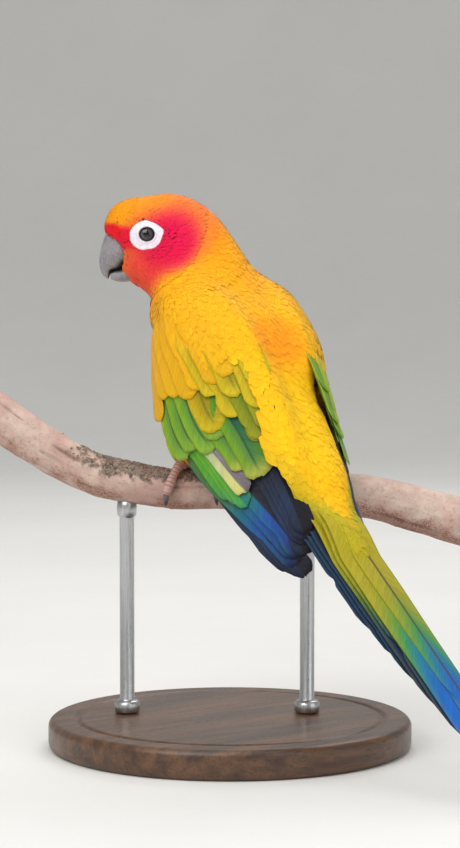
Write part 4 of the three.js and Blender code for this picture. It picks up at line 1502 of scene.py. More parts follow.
@dataclass
class Foot:
    """A perching foot: two toes in front, two behind, each with scutes and a claw."""

    side: Side
    toe_rise: float = 2.0
    ankle: float = 3.4
    scute: float = 1.5
    sides: int = 20
    steps: int = 64
    claw_sweep: float = 39.0
    claw_start: float = 1.4
    claw_steps: int = 22
    claw_sides: int = 14
    shank_length: float = 11.0
    shank_sides: int = 24

    def thigh(self) -> Ellipsoid:
        """The feathered part of the leg, as a form."""
        top = on_branch(FEET[self.side.value], 90, 0)
        middle = top + (-self.side.value * 2, *THIGH_FROM_PERCH)
        return Ellipsoid(Place(middle, np.eye(3)), (0, 0, 0), THIGH, 20)

    def toe_line(self, toe: Sequence[float], u: Array) -> Array:
        """Points on a toe's middle line."""
        end, drift, _ = toe
        foot = FEET[self.side.value]
        along = foot + self.side.value * drift * u**0.8
        return on_branch(along, 90 + (end - 90) * u, self.toe_rise * mix(1.25, 0.95, u))

    def toes(self) -> None:
        """The foot: four toes and the ankle, in one piece."""
        pile = Pile(f"scaled_foot_{self.side.word}")
        way = PERCH.way((1, 0, 0))
        under = PERCH.out((FEET[self.side.value], 0, 0))
        for toe in TOES:
            u = np.linspace(0, 1, self.steps)
            line = self.toe_line(toe, u)
            length = np.linalg.norm(np.diff(line, axis=0), axis=1).sum()
            step = (u * length / self.scute) % 1.0
            pads = 0.10 * np.sin(u * 9.5) * smooth(u, 0.2, 0.4)
            radius = toe[2] * mix(1.05, 0.8, u) * (1 + pads)
            rings = tube_rings(line, radius, radius, way, self.sides)
            out = unit(rings - line[:, None])
            over = unit(line - under)
            top = smooth((out * over[:, None]).sum(axis=-1), -0.1, 0.6)
            ridge = 0.16 * smooth(step, 0.0, 0.85) - 0.2 * smooth(step, 0.85, 1.0)
            rings = rings + out * (ridge[:, None] * top)[..., None]
            points, quads = capped_tube(rings, 0.6)
            groove = ((step > 0.86) | (step < 0.05))[:, None] * top
            pile.add(points, quads, None, {"fold": np.append(groove.ravel(), [0, 0])})
        self.shank(pile)
        rideable(pile.build(SCALES), "foot_skin", f"foot_{self.side.word}")

    def shank(self, pile: Pile) -> None:
        """The short leg between the thigh's feathers and the toes."""
        foot = FEET[self.side.value]
        low = on_branch(foot, 90, 1.8)
        high = low + np.array((-self.side.value * 1.2, 0.5, self.shank_length))
        u = np.linspace(0, 1, 30)
        line = mix(low, high, u[:, None])
        step = (u * self.shank_length / self.scute) % 1.0
        radius = mix(self.ankle * 0.95, 2.5, smooth(u, 0, 0.45)) * (1 + 0.03 * (step - 0.5))
        rings = tube_rings(line, radius, radius, PERCH.way((1, 0, 0)), self.shank_sides)
        points, quads = capped_tube(rings, 0.5)
        groove = np.repeat((step > 0.85) * 1.0, self.shank_sides)
        pile.add(points, quads, None, {"fold": np.append(groove, [0, 0])})

    def claws(self) -> None:
        """Four claws, each a piece of its own."""
        foot = FEET[self.side.value]
        for n, (end, drift, _) in enumerate(TOES):
            sweep = math.copysign(1, end - 90)
            u = np.linspace(0, 1, self.claw_steps)
            off = mix(1.9, 0.9, u) + 0.6 * np.sin(math.pi * u)
            line = on_branch(foot + self.side.value * drift * (1 + 0.05 * u),
                             end + sweep * (self.claw_start + self.claw_sweep * u), off)
            radius = mix(1.3, 0.16, u**1.3)
            rings = tube_rings(line, radius * 0.85, radius, PERCH.way((1, 0, 0)), self.claw_sides)
            growth = np.stack([np.repeat(u, self.claw_sides), np.tile(
                np.arange(self.claw_sides) / self.claw_sides, self.claw_steps)], axis=1)
            name = f"{self.side.word}_{n + 1}"
            single(f"claw_horn_{name}", capped_tube(rings, 0.4), ClawFinish(), "claw",
                   f"claw_{name}", growth=np.vstack([growth, [[0, 0], [1, 0]]]))

    def build(self) -> None:
        """Makes toes, shank and claws."""
        self.toes()
        self.claws()


LEGS = {side: Foot(side) for side in Side}


# Wings


class WingSurface:
    """The folded wing's outer surface, s from its bend to its tip and t from edge to back."""

    def __init__(self, side: Side) -> None:
        """Makes the two edges."""
        self.side = side
        self.tucked = 1.0 if side is Side.RIGHT else 0.0
        self.lower = Curve(WING_LOWER)
        self.upper = Curve(WING_UPPER)

    def point(self, s: Array, t: Array) -> Array:
        """Points of the surface."""
        s, t = np.broadcast_arrays(np.asarray(s, float), np.asarray(t, float))
        shape = s.shape
        s, t = s.ravel(), t.ravel()
        low, high = self.lower.at(s), self.upper.at(s)
        beyond = np.maximum(s - 1, 0)[:, None]
        out = unit(np.cross(high - low, self.lower.tangent(s)))
        bulge = 4 * t * (1 - t) * stepped(WING_BULGE, s)
        p = mix(low, high, t[:, None]) + out * bulge[:, None]
        p = p + self.lower.tangent(np.ones(1)) * beyond * 150
        p[:, 2] += self.tucked * TUCK_EDGE * np.sin(math.pi * np.minimum(s, 1)) * (1 - t)
        p[:, 0] -= self.tucked * TUCK_TIP * np.minimum(s, 1) ** 2
        p[:, 0] *= self.side.value
        return TORSO.out(p).reshape(*shape, 3)

    def normal(self, s: Array, t: Array) -> Array:
        """Directions out of the surface, away from the body."""
        e = 0.02
        s, t = np.broadcast_arrays(np.asarray(s, float), np.asarray(t, float))
        ahead = self.point(np.minimum(s + e, 1), t) - self.point(np.maximum(s - e, 0), t)
        across = self.point(s, t + e) - self.point(s, t - e)
        return unit(np.cross(ahead, across)) * (1.0 if self.side is Side.LEFT else -1.0)


@dataclass(frozen=True)
class Dress:
    """The colours of one kind of large feather: along its outer and inner web, edges and shaft."""

    outer: tuple[tuple[float, str], ...]
    inner: tuple[tuple[float, str], ...]
    shaft: str
    edge: str
    edge_amount: float = 0.4
    tip: str | None = None
    tip_amount: float = 0.0
    shaft_amount: float = 0.7
    middle: str | None = None
    middle_amount: float = 0.0

    def colour(self, u: Array, v: Array) -> Array:
        """Colours at places along (0 to 1) and across (-1 outer edge, 1 inner edge)."""
        web = mix(gradient(self.outer, u), gradient(self.inner, u), smooth(v, -0.1, 0.12)[:, None])
        if self.middle:
            band = self.middle_amount * (1 - smooth(np.abs(v), 0.15, 0.75)) * smooth(u, 0.2, 0.45)
            band = band * (1 - smooth(u, 0.78, 0.97))
            web = mix(web, linear(self.middle), band[:, None])
        rim = self.edge_amount * smooth(np.abs(v), 0.68, 1.0)
        web = mix(web, linear(self.edge), rim[:, None])
        if self.tip:
            end = self.tip_amount * smooth(u, 0.82, 1.0)
            web = mix(web, linear(self.tip), end[:, None])
        shaft = self.shaft_amount * (1 - smooth(np.abs(v), 0.05, 0.12)) * (1 - smooth(u, 0.8, 1))
        return mix(web, linear(self.shaft), shaft[:, None])


class Kind(Enum):
    """The kinds of large feathers."""

    PRIMARY = Dress(((0, "47702a"), (0.45, "4a7a3a"), (0.58, "1f6a72"), (0.7, "1a4c98"),
                     (0.85, "173a7c"), (1, "15203c")),
                    ((0, "232328"), (0.5, "1d1b24"), (1, "16151f")),
                    "121118", "2a7a80", 0.35)
    BLACK_PRIMARY = Dress(((0, "24281f"), (0.5, "23252d"), (0.75, "243250"), (1, "191e2e")),
                          ((0, "201f24"), (0.5, "1b1a20"), (1, "14131b")),
                          "0f0e14", "22304c", 0.3)
    PRIMARY_COVERT = Dress(((0, "6f9f22"), (0.4, "62a828"), (0.8, "52a036"), (1, "3f9458")),
                           ((0, "3a7a2c"), (0.5, "2a7448"), (1, "22746c")),
                           "24523a", "84b83a", 0.3)
    SECONDARY = Dress(((0, "4f8a18"), (0.5, "669a1c"), (1, "7d9c28")),
                      ((0, "1a5a50"), (0.45, "2c6e3e"), (0.8, "588c20"), (1, "80982e")),
                      "1a4430", "8eac28", 0.4, "c3ba58", 0.6, 0.7, "1f5e50", 0.45)
    GREEN_COVERT = Dress(((0, "93aa1c"), (0.5, "72a226"), (1, "7aa434")),
                         ((0, "4f861e"), (0.6, "4f8c2e"), (1, "6f9c3a")),
                         "2a4f24", "9db42a", 0.45, "8fae40", 0.35, 0.6, "4a7c48", 0.45)
    LIME_COVERT = Dress(((0, "d3bf1a"), (0.6, "a8b822"), (1, "8cb026")),
                        ((0, "a2b020"), (0.6, "6f9c24"), (1, "6a962a")),
                        "4a6420", "b8c634", 0.6)
    MOSS_COVERT = Dress(((0, "8a9412"), (0.6, "879010"), (1, "9a9a1c")),
                        ((0, "7c8c14"), (0.6, "6c8614"), (1, "84901c")),
                        "4c5a14", "a4a026", 0.35, "a09c20", 0.3, 0.55, "4f6f20", 0.4)
    OLIVE_COVERT = Dress(((0, "e6ae0a"), (0.5, "c8a80e"), (1, "cbb416")),
                         ((0, "dea80c"), (0.5, "b8a00e"), (1, "bea812")),
                         "6a6016", "d2bc1e", 0.35, "d2ba1c", 0.4, 0.55, "8a8414", 0.6)
    YELLOW_COVERT = Dress(((0, "f0ae0a"), (0.7, "eab00c"), (1, "e4b010")),
                          ((0, "f2b00a"), (0.7, "ebae0c"), (1, "e2ae10")),
                          "dca30c", "f2b814", 0.2, "eab812", 0.25, 0.1)
    LILAC = Dress(((0, "8f9a80"), (0.4, "b6bd90"), (0.75, "d0cf84"), (1, "cac672")),
                  ((0, "84907c"), (0.5, "8a8088"), (1, "6c6268")),
                  "60586a", "c9c890", 0.2)


@dataclass(frozen=True)
class Tier:
    """A row of large feathers on the wing, between a first and a last one.

    Roots and tips are places (s, t) on the wing. halves are the half widths of the outer and the
    inner web, and rise the height over the surface at root and tip. bend moves a feather's
    middle across the wing, and narrow is its width at the root, as a share.
    """

    kind: Kind
    count: int
    roots: tuple[tuple[float, float], tuple[float, float]]
    tips: tuple[tuple[float, float], tuple[float, float]]
    halves: tuple[float, float]
    rise: tuple[float, float]
    step: float = 0.0
    round: float = 0.3
    slope: float = 0.11
    bow: float = 0.0
    swing: float = 0.012
    bend: float = 0.0
    narrow: float = 0.35


WING_TIERS = (
    Tier(Kind.BLACK_PRIMARY, 4, ((0.32, 0.27), (0.36, 0.34)), ((0.94, 0.05), (1.0, 0.35)),
         (3.4, 5.6), (-1.7, -1.4), 0.12, 0.34, 0.10, 0.0, 0.006),
    Tier(Kind.PRIMARY, 3, ((0.36, 0.2), (0.4, 0.36)), ((0.95, 0.44), (0.92, 0.68)),
         (4.6, 5.2), (-1.4, -1.0), 0.16, 0.34, 0.10, 0.0, 0.006, -0.12),
    Tier(Kind.BLACK_PRIMARY, 4, ((0.42, 0.5), (0.46, 0.7)), ((0.92, 0.76), (0.86, 0.92)),
         (3.6, 5.6), (-1.1, -0.8), 0.14, 0.34, 0.10, 0.0, 0.006),
    Tier(Kind.PRIMARY_COVERT, 3, ((0.3, 0.24), (0.36, 0.34)), ((0.66, 0.2), (0.715, 0.3)),
         (3.2, 4.2), (-0.9, 0.1), 0.16, 0.3, 0.12, 0.0, 0.008),
    Tier(Kind.SECONDARY, 6, ((0.36, 0.42), (0.34, 0.88)), ((0.61, 0.5), (0.56, 0.84)),
         (4.8, 5.6), (-0.9, 0.1), 0.08, 0.24, 0.13, 0.02, 0.010),
    Tier(Kind.LILAC, 1, ((0.45, 0.34), (0.45, 0.34)), ((0.68, 0.4), (0.68, 0.4)),
         (3.7, 4.4), (0.2, 0.9), 0.0, 0.3, 0.1, narrow=0.1),
    Tier(Kind.SECONDARY, 2, ((0.38, 0.47), (0.38, 0.62)), ((0.635, 0.535), (0.668, 0.645)),
         (5.6, 6.4), (-0.3, 1.0), 0.2, 0.22, 0.12, 0.0, 0.006),
    Tier(Kind.LIME_COVERT, 1, ((0.22, 0.05), (0.22, 0.05)), ((0.462, 0.08), (0.462, 0.08)),
         (3.0, 3.4), (-0.7, 0.7), 0.0, 0.5, 0.12),
    Tier(Kind.GREEN_COVERT, 4, ((0.24, 0.12), (0.26, 0.48)), ((0.483, 0.17), (0.53, 0.46)),
         (4.9, 5.4), (-0.7, 0.9), 0.08, 0.28, 0.13, 0.0, 0.012),
    Tier(Kind.MOSS_COVERT, 2, ((0.36, 0.8), (0.36, 0.9)), ((0.6, 0.79), (0.575, 0.9)),
         (5.6, 5.8), (0.1, 1.5), 0.10, 0.3, 0.12, 0.0, 0.006),
    Tier(Kind.OLIVE_COVERT, 3, ((0.26, 0.5), (0.28, 0.92)), ((0.495, 0.5), (0.535, 0.88)),
         (6.0, 6.4), (-0.3, 1.4), 0.10, 0.36, 0.12, 0.0, 0.012),
    Tier(Kind.OLIVE_COVERT, 3, ((0.2, 0.55), (0.22, 0.95)), ((0.43, 0.62), (0.47, 0.94)),
         (5.4, 5.6), (-0.2, 1.5), 0.08, 0.36, 0.12, 0.0, 0.012),
    Tier(Kind.YELLOW_COVERT, 8, ((0.12, 0.03), (0.15, 0.86)), ((0.335, 0.04), (0.4, 0.88)),
         (4.8, 5.2), (-0.4, 1.4), 0.02, 0.42, 0.07, 0.0, 0.014),
)

RIGHT_KINDS = {Kind.OLIVE_COVERT: Kind.LIME_COVERT, Kind.SECONDARY: Kind.GREEN_COVERT,
               Kind.MOSS_COVERT: Kind.LIME_COVERT}
LONG_KINDS = {Kind.PRIMARY, Kind.PRIMARY_COVERT, Kind.SECONDARY, Kind.LILAC}
WING_SEEDS = {Side.RIGHT: 43, Side.LEFT: 41}


class Vane:
    """Shapes a large feather as a closed plate with a shaft, splits and a rounded end."""

    across = np.array((-1, -0.84, -0.6, -0.34, -0.12, -0.045, 0.045, 0.12, 0.34, 0.6, 0.84, 1.0))

    def __init__(self, rows: int, rng: np.random.Generator) -> None:
        """Keeps the number of rows along the feather."""
        self.rows = rows
        self.rng = rng
        self.quads = plate_quads(rows, len(self.across))
        self.flat = np.arange(len(self.quads)) >= (rows - 1) * (len(self.across) - 1)

    def shape(self, spine: Callable[[Array], tuple[Array, Array, Array]],
              halves: Sequence[float], blunt: float, slope: float, thick: float = 0.32,
              camber: float = 0.05, splits: int = 2, narrow: float = 0.35,
              taper: float = 0.0) -> tuple[Array, Array, Array]:
        """The feather's points.

        Args:
            spine: gives points, outward directions and directions towards v from u.
            halves: half width on the side of v less than 0, and on the other.
            blunt: how much of the length the rounded end takes.
            slope: how steeply the feather falls from its outer edge to its inner one.
            thick: thickness at the shaft.
            camber: how much the edges droop, as a share of the half width.
            splits: the most gaps that part its barbs.
            narrow: width at the root, as a share.
            taper: how much narrower it grows towards its end.

        Returns:
            Points, and each point's u and v.
        """
        rng = self.rng
        n = self.rows
        base = np.linspace(0, 1, n)
        u, v = np.meshgrid(base, self.across, indexing="ij")
        arc = 1 - np.sqrt(1 - (0.985 * v) ** 2)
        run = u * (1 - blunt * arc * smooth(u, 0.15, 1.0))
        run = run + (u > 0.999) * rng.normal(0, 0.006, v.shape)
        width = mix(narrow, 1.0, smooth(run, 0, 0.32)) * (1 - taper * smooth(run, 0.3, 1.0))
        gaps = np.zeros_like(u)
        for _ in range(rng.integers(0, splits + 1)):
            at, where = rng.uniform(0.45, 0.95), rng.choice([-1, 1])
            deep = rng.uniform(0.08, 0.24) * np.exp(-(((u - at) * n / 1.1) ** 2))
            gaps += deep * (v * where > 0.5)
        wave = 1 + 0.02 * np.sin(run * rng.uniform(14, 24) + rng.uniform(0, 6)) - gaps
        place, out, side = spine(run.ravel())
        half = np.where(v < 0, halves[0], halves[1])
        lateral = (v * half * width * wave).ravel()
        drop = camber * np.abs(lateral) * np.abs(v.ravel()) + slope * lateral
        shaft = 0.16 * (np.abs(v.ravel()) < 0.06) * (1 - smooth(run.ravel(), 0.6, 1))
        top = place + side * lateral[:, None] + out * (shaft - drop)[:, None]
        depth = thick * mix(1.2, 0.7, run.ravel()) * mix(1.0, 0.55, np.abs(v.ravel()))
        under = top - out * (depth + shaft)[:, None]
        return np.vstack([top, under]), np.tile(run.ravel(), 2), np.tile(v.ravel(), 2)

    def add(self, pile: Pile, points: Array, u: Array, v: Array, tint: Array,
            length: float, half: float, cell: tuple[float, float, float, float]) -> None:
        """Adds a shaped feather to a pile, on its own cell of the bake map."""
        x0, y0, x1, y1 = cell
        bake = np.stack([mix(x0, x1, (v + 1) / 2), mix(y0, y1, u)], axis=1)
        drift = self.rng.uniform(0, 0.3)
        vane = np.stack([u * length / 100 + drift, v * half / 100], axis=1)
        pile.add(points, facing(points, self.quads), self.flat, {"tint": tint},
                 {"OFBake": bake, "Vane": vane})


def cells(count: int, columns: int = 12) -> list[tuple[float, float, float, float]]:
    """Cells of a bake map, one for each large feather."""
    rows = math.ceil(count / columns)
    made = []
    for k in range(count):
        i, j = k % columns, k // columns
        made.append(((i + 0.06) / columns, (j + 0.04) / rows, (i + 0.94) / columns,
                     (j + 0.96) / rows))
    return made


@dataclass
class Wing:
    """A folded wing: its large feathers tier by tier, over the skin's own plate."""

    side: Side
    rows: int = 22
    clear: float = 0.5
    flesh: float = 4.6
    surface: WingSurface = field(init=False)

    def __post_init__(self) -> None:
        """Makes the surface."""
        self.surface = WingSurface(self.side)

    def plate(self) -> tuple[Array, Array]:
        """The wing's flesh, a thin plate under its feathers, closed."""
        rows, columns = 26, 18
        s, t = np.meshgrid(np.linspace(0.03, 1, rows), np.linspace(0.05, 0.95, columns),
                           indexing="ij")
        s = s * mix(0.55, 0.45, t)
        thin = mix(1.0, 0.2, smooth(s, 0.25, 0.55)) * (0.3 + 0.7 * np.sqrt(np.sin(math.pi * t)))
        normal = self.surface.normal(s, t)
        top = self.surface.point(s, t) - normal * 1.5
        under = top - normal * (self.flesh * thin)[..., None]
        points = np.vstack([top.reshape(-1, 3), under.reshape(-1, 3)])
        return points, facing(points, plate_quads(rows, columns))

    def off_body(self, points: Array, least: float) -> Array:
        """Moves points that would sink into the body's feathers out of them."""
        d = FORM.distance(points)
        short = np.maximum(least - d, 0)
        near = short > 0
        if near.any():
            push = np.zeros_like(points)
            push[near] = FORM.normal(points[near]) * np.minimum(short[near], 7.0)[:, None]
            points = points + push
        return points

    def feather(self, tier: Tier, i: int, shaper: Vane, rng: np.random.Generator
                ) -> tuple[Array, Array, Array, Array, float]:
        """One feather of a tier: its points, u, v, tints and length."""
        q = i / (tier.count - 1) if tier.count > 1 else 0.0
        root, tip = mix(*map(np.array, tier.roots), q), mix(*map(np.array, tier.tips), q)
        tip[0] += tier.bow * 4 * q * (1 - q) + rng.normal(0, tier.swing)
        tip[1] += rng.normal(0, tier.swing)
        root = root + rng.normal(0, tier.swing * 0.5, 2)
        lift = tier.step * i + rng.normal(0, 0.05)

        def spine(u: Array) -> tuple[Array, Array, Array]:
            s, t = mix(root[0], tip[0], u), mix(root[1], tip[1], u)
            t = t + tier.bend * 4 * u * (1 - u)
            place = self.surface.point(s, t)
            out = self.surface.normal(s, t)
            drift = (tip[1] - root[1] + tier.bend * 4 * (1 - 2 * u)) / (tip[0] - root[0])
            ahead = unit(self.surface.point(s + 0.01, t + 0.01 * drift) - place)
            side = unit(np.cross(out, ahead))
            back = self.surface.point(s, t + 0.02) - place
            side = side * np.sign((side * back).sum(axis=1, keepdims=True))
            height = mix(tier.rise[0], tier.rise[1], u**0.9) + lift
            clear = self.clear + 0.6 * np.maximum(tier.rise[1], 0)
            return self.off_body(place + out * height[:, None], clear), out, side

        ends = self.surface.point(np.array([root[0], tip[0]]), np.array([root[1], tip[1]]))
        length = float(np.linalg.norm(ends[1] - ends[0]))
        points, u, v = shaper.shape(spine, tier.halves, tier.round * tier.halves[1] * 2.6 / length
                                    if length < 40 else 10.0 * tier.round / length * 1.6,
                                    tier.slope, narrow=tier.narrow)
        kind = RIGHT_KINDS.get(tier.kind, tier.kind) if self.side is Side.RIGHT else tier.kind
        tint = kind.value.colour(u, v)
        shade = 1 + rng.normal(0, 0.035)
        return points, u, v, tint * shade, length

    def build(self) -> None:
        """Makes the wing's feathers, in one piece for long ones and one for coverts."""
        rng = np.random.default_rng(WING_SEEDS[self.side])
        shaper = Vane(self.rows, rng)
        for name, wanted in (("flight_feathers", True), ("wing_coverts", False)):
            tiers = [t for t in WING_TIERS if (t.kind in LONG_KINDS) is wanted]
            places = iter(cells(sum(t.count for t in tiers)))
            pile = Pile(f"{name}_{self.side.word}")
            for tier in tiers:
                for i in range(tier.count):
                    points, u, v, tint, length = self.feather(tier, i, shaper, rng)
                    least = self.clear + max(tier.rise[1], -0.6) * smooth(u, 0.2, 0.8)
                    points = self.off_body(points, least)
                    shaper.add(pile, points, u, v, tint, length, sum(tier.halves) / 2,
                               next(places))
            finish = PlumageFinish("flight" if wanted else "covert", 0.5 if wanted else 0.6,
                                   0.7, 0.12, 0.18, 0.00012)
            rideable(pile.build(finish), "plumage_yellow",
                     *([f"wing_{self.side.word}"] if wanted else []))


WINGS = {side: Wing(side) for side in Side}


# Tail


@dataclass
class Tail:
    """Twelve graduated feathers, the middle pair longest and on top."""

    seed: int = 52
    pairs: int = 6
    step: float = 14.0
    half: float = 7.0
    fan: dict[int, tuple[float, float]] = field(
        default_factory=lambda: {-1: (4.4, 1.3), 1: (2.0, 0.9)})
    olive: int = 2
    rows: int = 34

    def dress(self, n: int, length: float, side: int) -> Dress:
        """The colours of one pair, by how far they lie from the tail's root."""
        top = ((0, "bda91c"), (30, "b4a41c"), (56, "a39a1e"), (68, "82962a"), (80, "419046"),
               (92, "167a92"), (106, "0c62b8"), (140, "0f6cd0"))
        fade = 66 - 5 * n
        middle = ((0, "bda91c"), (30, "b0a21c"), (fade - 14, "93901e"), (fade, "4c6a2c"),
                  (fade + 10, "1d4652"), (fade + 24, "14264e"), (140, "12305e"))
        low = ((0, "3a5a2a"), (18, "1f5a5c"), (34, "16507c"), (60, "14305e"), (90, "11203f"),
               (120, "12305e"), (140, "0f58a8"))
        stops = top if n < 1 else middle if n <= self.olive else low
        outer = tuple((d / length, code) for d, code in stops if d <= length)
        inner = outer if n <= self.olive else ((0, "2a2a22"), (0.4, "1a1e26"), (1, "12161f"))
        green = n <= self.olive
        return Dress(outer, inner, "4a3a28" if green else "141418",
                     "8a9a22" if green else "1d5c8c", 0.15 if green else 0.35,
                     shaft_amount=(0.85 if n < 1 and side > 0 else 0.2) if green else 0.5)

    def spine(self, side: int, offset: float, root: float, length: float, level: float,
              lean: float) -> Callable[[Array], tuple[Array, Array, Array]]:
        """The middle line of a tail feather."""

        def line(u: Array) -> tuple[Array, Array, Array]:
            y = root - (length + root) * u
            x = side * offset * mix(0.8, 1.05, u)
            z = level + 1.5 * np.sin(u * 1.4)
            place = TAIL.out(np.stack([x, y, z], axis=1))
            middle = TAIL.out(np.stack([0 * x, y, 1.5 * np.sin(u * 1.4)], axis=1))
            deep = np.clip(0.2 - FORM.distance(middle), 0, 6) * (1 - smooth(offset, 5, 9))
            deep = deep * smooth(y, -50, -30) * smooth(-y, 2, 20)
            place = place + TAIL.way((0, 0, 1)) * deep[:, None]
            out = np.tile(TAIL.way((side * lean, 0, 1)), (len(u), 1))
            across = unit(np.cross(out, -np.tile(TAIL.way((0, 1, 0)), (len(u), 1))))
            return place, out, across * -side

        return line

    def build(self) -> None:
        """Makes the feathers."""
        rng = np.random.default_rng(self.seed)
        shaper = Vane(self.rows, rng)
        pile = Pile("tail_feathers")
        places = iter(cells(2 * self.pairs, 6))
        for n in reversed(range(self.pairs)):
            for side in (-1, 1):
                length = TAIL_LENGTH - self.step * n
                level = -0.9 * n - (0.3 if side < 0 else 0)
                offset = self.fan[side][0] + self.fan[side][1] * n
                line = self.spine(side, offset, 8.0, length, level, 0.06 + 0.03 * n)
                points, u, v = shaper.shape(line, (self.half, self.half), 0.16, 0.0, 0.4, 0.06,
                                            3, 0.6, 0.22)
                lag = 0 if n else 16 * np.abs(v) ** 1.5 - 8
                distance = np.clip((u * (length + 8) - 8 - lag) / length, 0, 1)
                tint = self.dress(n, length, side).colour(distance, -v)
                shaper.add(pile, points, u, v, tint, length, self.half, next(places))
        finish = PlumageFinish("tail", 0.5, 0.7, 0.16, 0.22, 0.00014)
        rideable(pile.build(finish), "plumage_olive", "tail")


# Skin and coat


class Cover:
    """The folded wings as they raise the feathers that lie over them.

    Each sample of a wing has a foot on the body below it. A lattice round the body holds how
    far feathers must be raised to clear the wings, and falls off gently beyond their edges.
    """

    rise = 2.0
    step = 1.2
    cell = 2.5
    margin = 12.0
    reach = 8.0

    def __init__(self) -> None:
        """Samples both wings and fills the lattice."""
        s, t = np.meshgrid(np.linspace(-0.02, 0.8, 50), np.linspace(0.0, 1.0, 22),
                           indexing="ij")
        places = np.vstack([wing.off_body(wing.surface.point(s, t).reshape(-1, 3), 0.3)
                            for wing in WINGS.values()])
        height = FORM.distance(places)
        near = height < self.margin
        self.s, self.t = np.tile(s.ravel(), 2)[near], np.tile(t.ravel(), 2)[near]
        self.right = np.repeat([side is Side.RIGHT for side in WINGS], s.size)[near]
        height = height[near]
        self.feet = FORM.settle(places[near], 0.0, 4)
        self.tree = tree_of(self.feet)
        self.low = self.feet.min(axis=0) - self.margin
        span = self.feet.max(axis=0) + self.margin - self.low
        count = np.ceil(span / self.cell).astype(int) + 1
        grid = np.stack(np.meshgrid(*(np.arange(c) for c in count), indexing="ij"), axis=-1)
        nodes = grid.reshape(-1, 3) * self.cell + self.low
        reach = mix(3.0, self.reach, np.maximum(smooth(self.t, 0.3, 0.7), self.s < 0.06))
        end = np.where(self.right, 0.42, 0.75)
        lobes = 1.3 * smooth(self.s, 0.4, 0.5) * smooth(self.t, 0.5, 0.75)
        full = (height + self.rise + lobes) * (1 - smooth(self.s - end, -0.05, 0.06))
        held = np.zeros(len(nodes))
        for first in range(0, len(nodes), 4000):
            gap = nodes[first:first + 4000, None] - self.feet[None]
            share = 1 - smooth(np.sqrt((gap**2).sum(axis=2)), 1.2, reach)
            held[first:first + 4000] = (share * full).max(axis=1)
        field_3d = held.reshape(grid.shape[:3])
        for axis in range(3):
            before, after = np.roll(field_3d, 1, axis), np.roll(field_3d, -1, axis)
            field_3d = 0.25 * before + 0.5 * field_3d + 0.25 * after
        self.held = field_3d

    def raised(self, points: Array) -> Array:
        """How far feathers at points of the body are raised."""
        most = np.array(self.held.shape) - 1.001
        place = np.clip((points - self.low) / self.cell, 0, most)
        base = place.astype(int)
        part = place - base
        found = np.zeros(len(points))
        for corner in np.ndindex(2, 2, 2):
            share = np.prod(np.where(corner, part, 1 - part), axis=1)
            found += share * self.held[tuple((base + corner).T)]
        inside = (np.abs((points - self.low) / self.cell - place) < 1).all(axis=1)
        tail = TAIL.own(points)
        over_tail = 1.1 * smooth(-tail[:, 1], 6, 24) * (tail[:, 2] > -6)
        return np.maximum(found * inside, over_tail)

    def hides(self, points: Array) -> Array:
        """Which points of the body lie under a wing, well inside its edges."""
        found = [self.tree.find(p)[1:] for p in points.tolist()]
        nearest = np.array([f[0] for f in found])
        s, t = self.s[nearest], self.t[nearest]
        left = np.interp(s, (0.0, 0.08, 0.2, 0.45, 0.5, 0.55, 0.61, 0.64, 0.66, 0.69),
                         (0.5, 0.7, 0.82, 0.9, 0.88, 0.83, 0.79, 0.82, 0.86, 0.94))
        right = np.interp(s, (0.0, 0.08, 0.2, 0.3, 0.36, 0.39),
                          (0.5, 0.7, 0.82, 0.88, 0.92, 0.97))
        top = np.where(self.right[nearest], right, left)
        over = np.where((t > 0.35) & (s > 0.45), 9.0 + 5 * smooth(t, 0.4, 0.55), 2.5)
        return (t < top) & (s > 0.03) & (np.array([f[1] for f in found]) < over)

    def astray(self, points: Array, raised: Array) -> Array:
        """Which raised places of the body's points lie on the open part of the left wing."""
        s, t = np.meshgrid(np.linspace(0.64, 0.82, 10), np.linspace(0.2, 0.74, 12))
        wing = WINGS[Side.LEFT].surface.point(s, t).reshape(-1, 3)
        found = np.linalg.norm(raised - points, axis=1) > 3.0
        gap = np.linalg.norm(raised[found, None] - wing[None], axis=2).min(axis=1)
        found[found] = gap < 5.0
        return found

    def settle(self, points: Array, heights: Array) -> Array:
        """Lays points at heights over the body, or over the wings where these cover it."""
        feet = FORM.settle(points, 0.0, 2)
        return FORM.settle(feet, heights + self.raised(feet), 3)

    def normal(self, points: Array) -> Array:
        """Directions out of the surface that the raised feathers lie on."""
        feet = FORM.settle(points, 0.0, 2)
        out = FORM.normal(feet)
        slope = differences(self.raised, feet, self.step) / (2 * self.step)
        slope = slope - out * (slope * out).sum(axis=1, keepdims=True)
        return unit(out - slope)


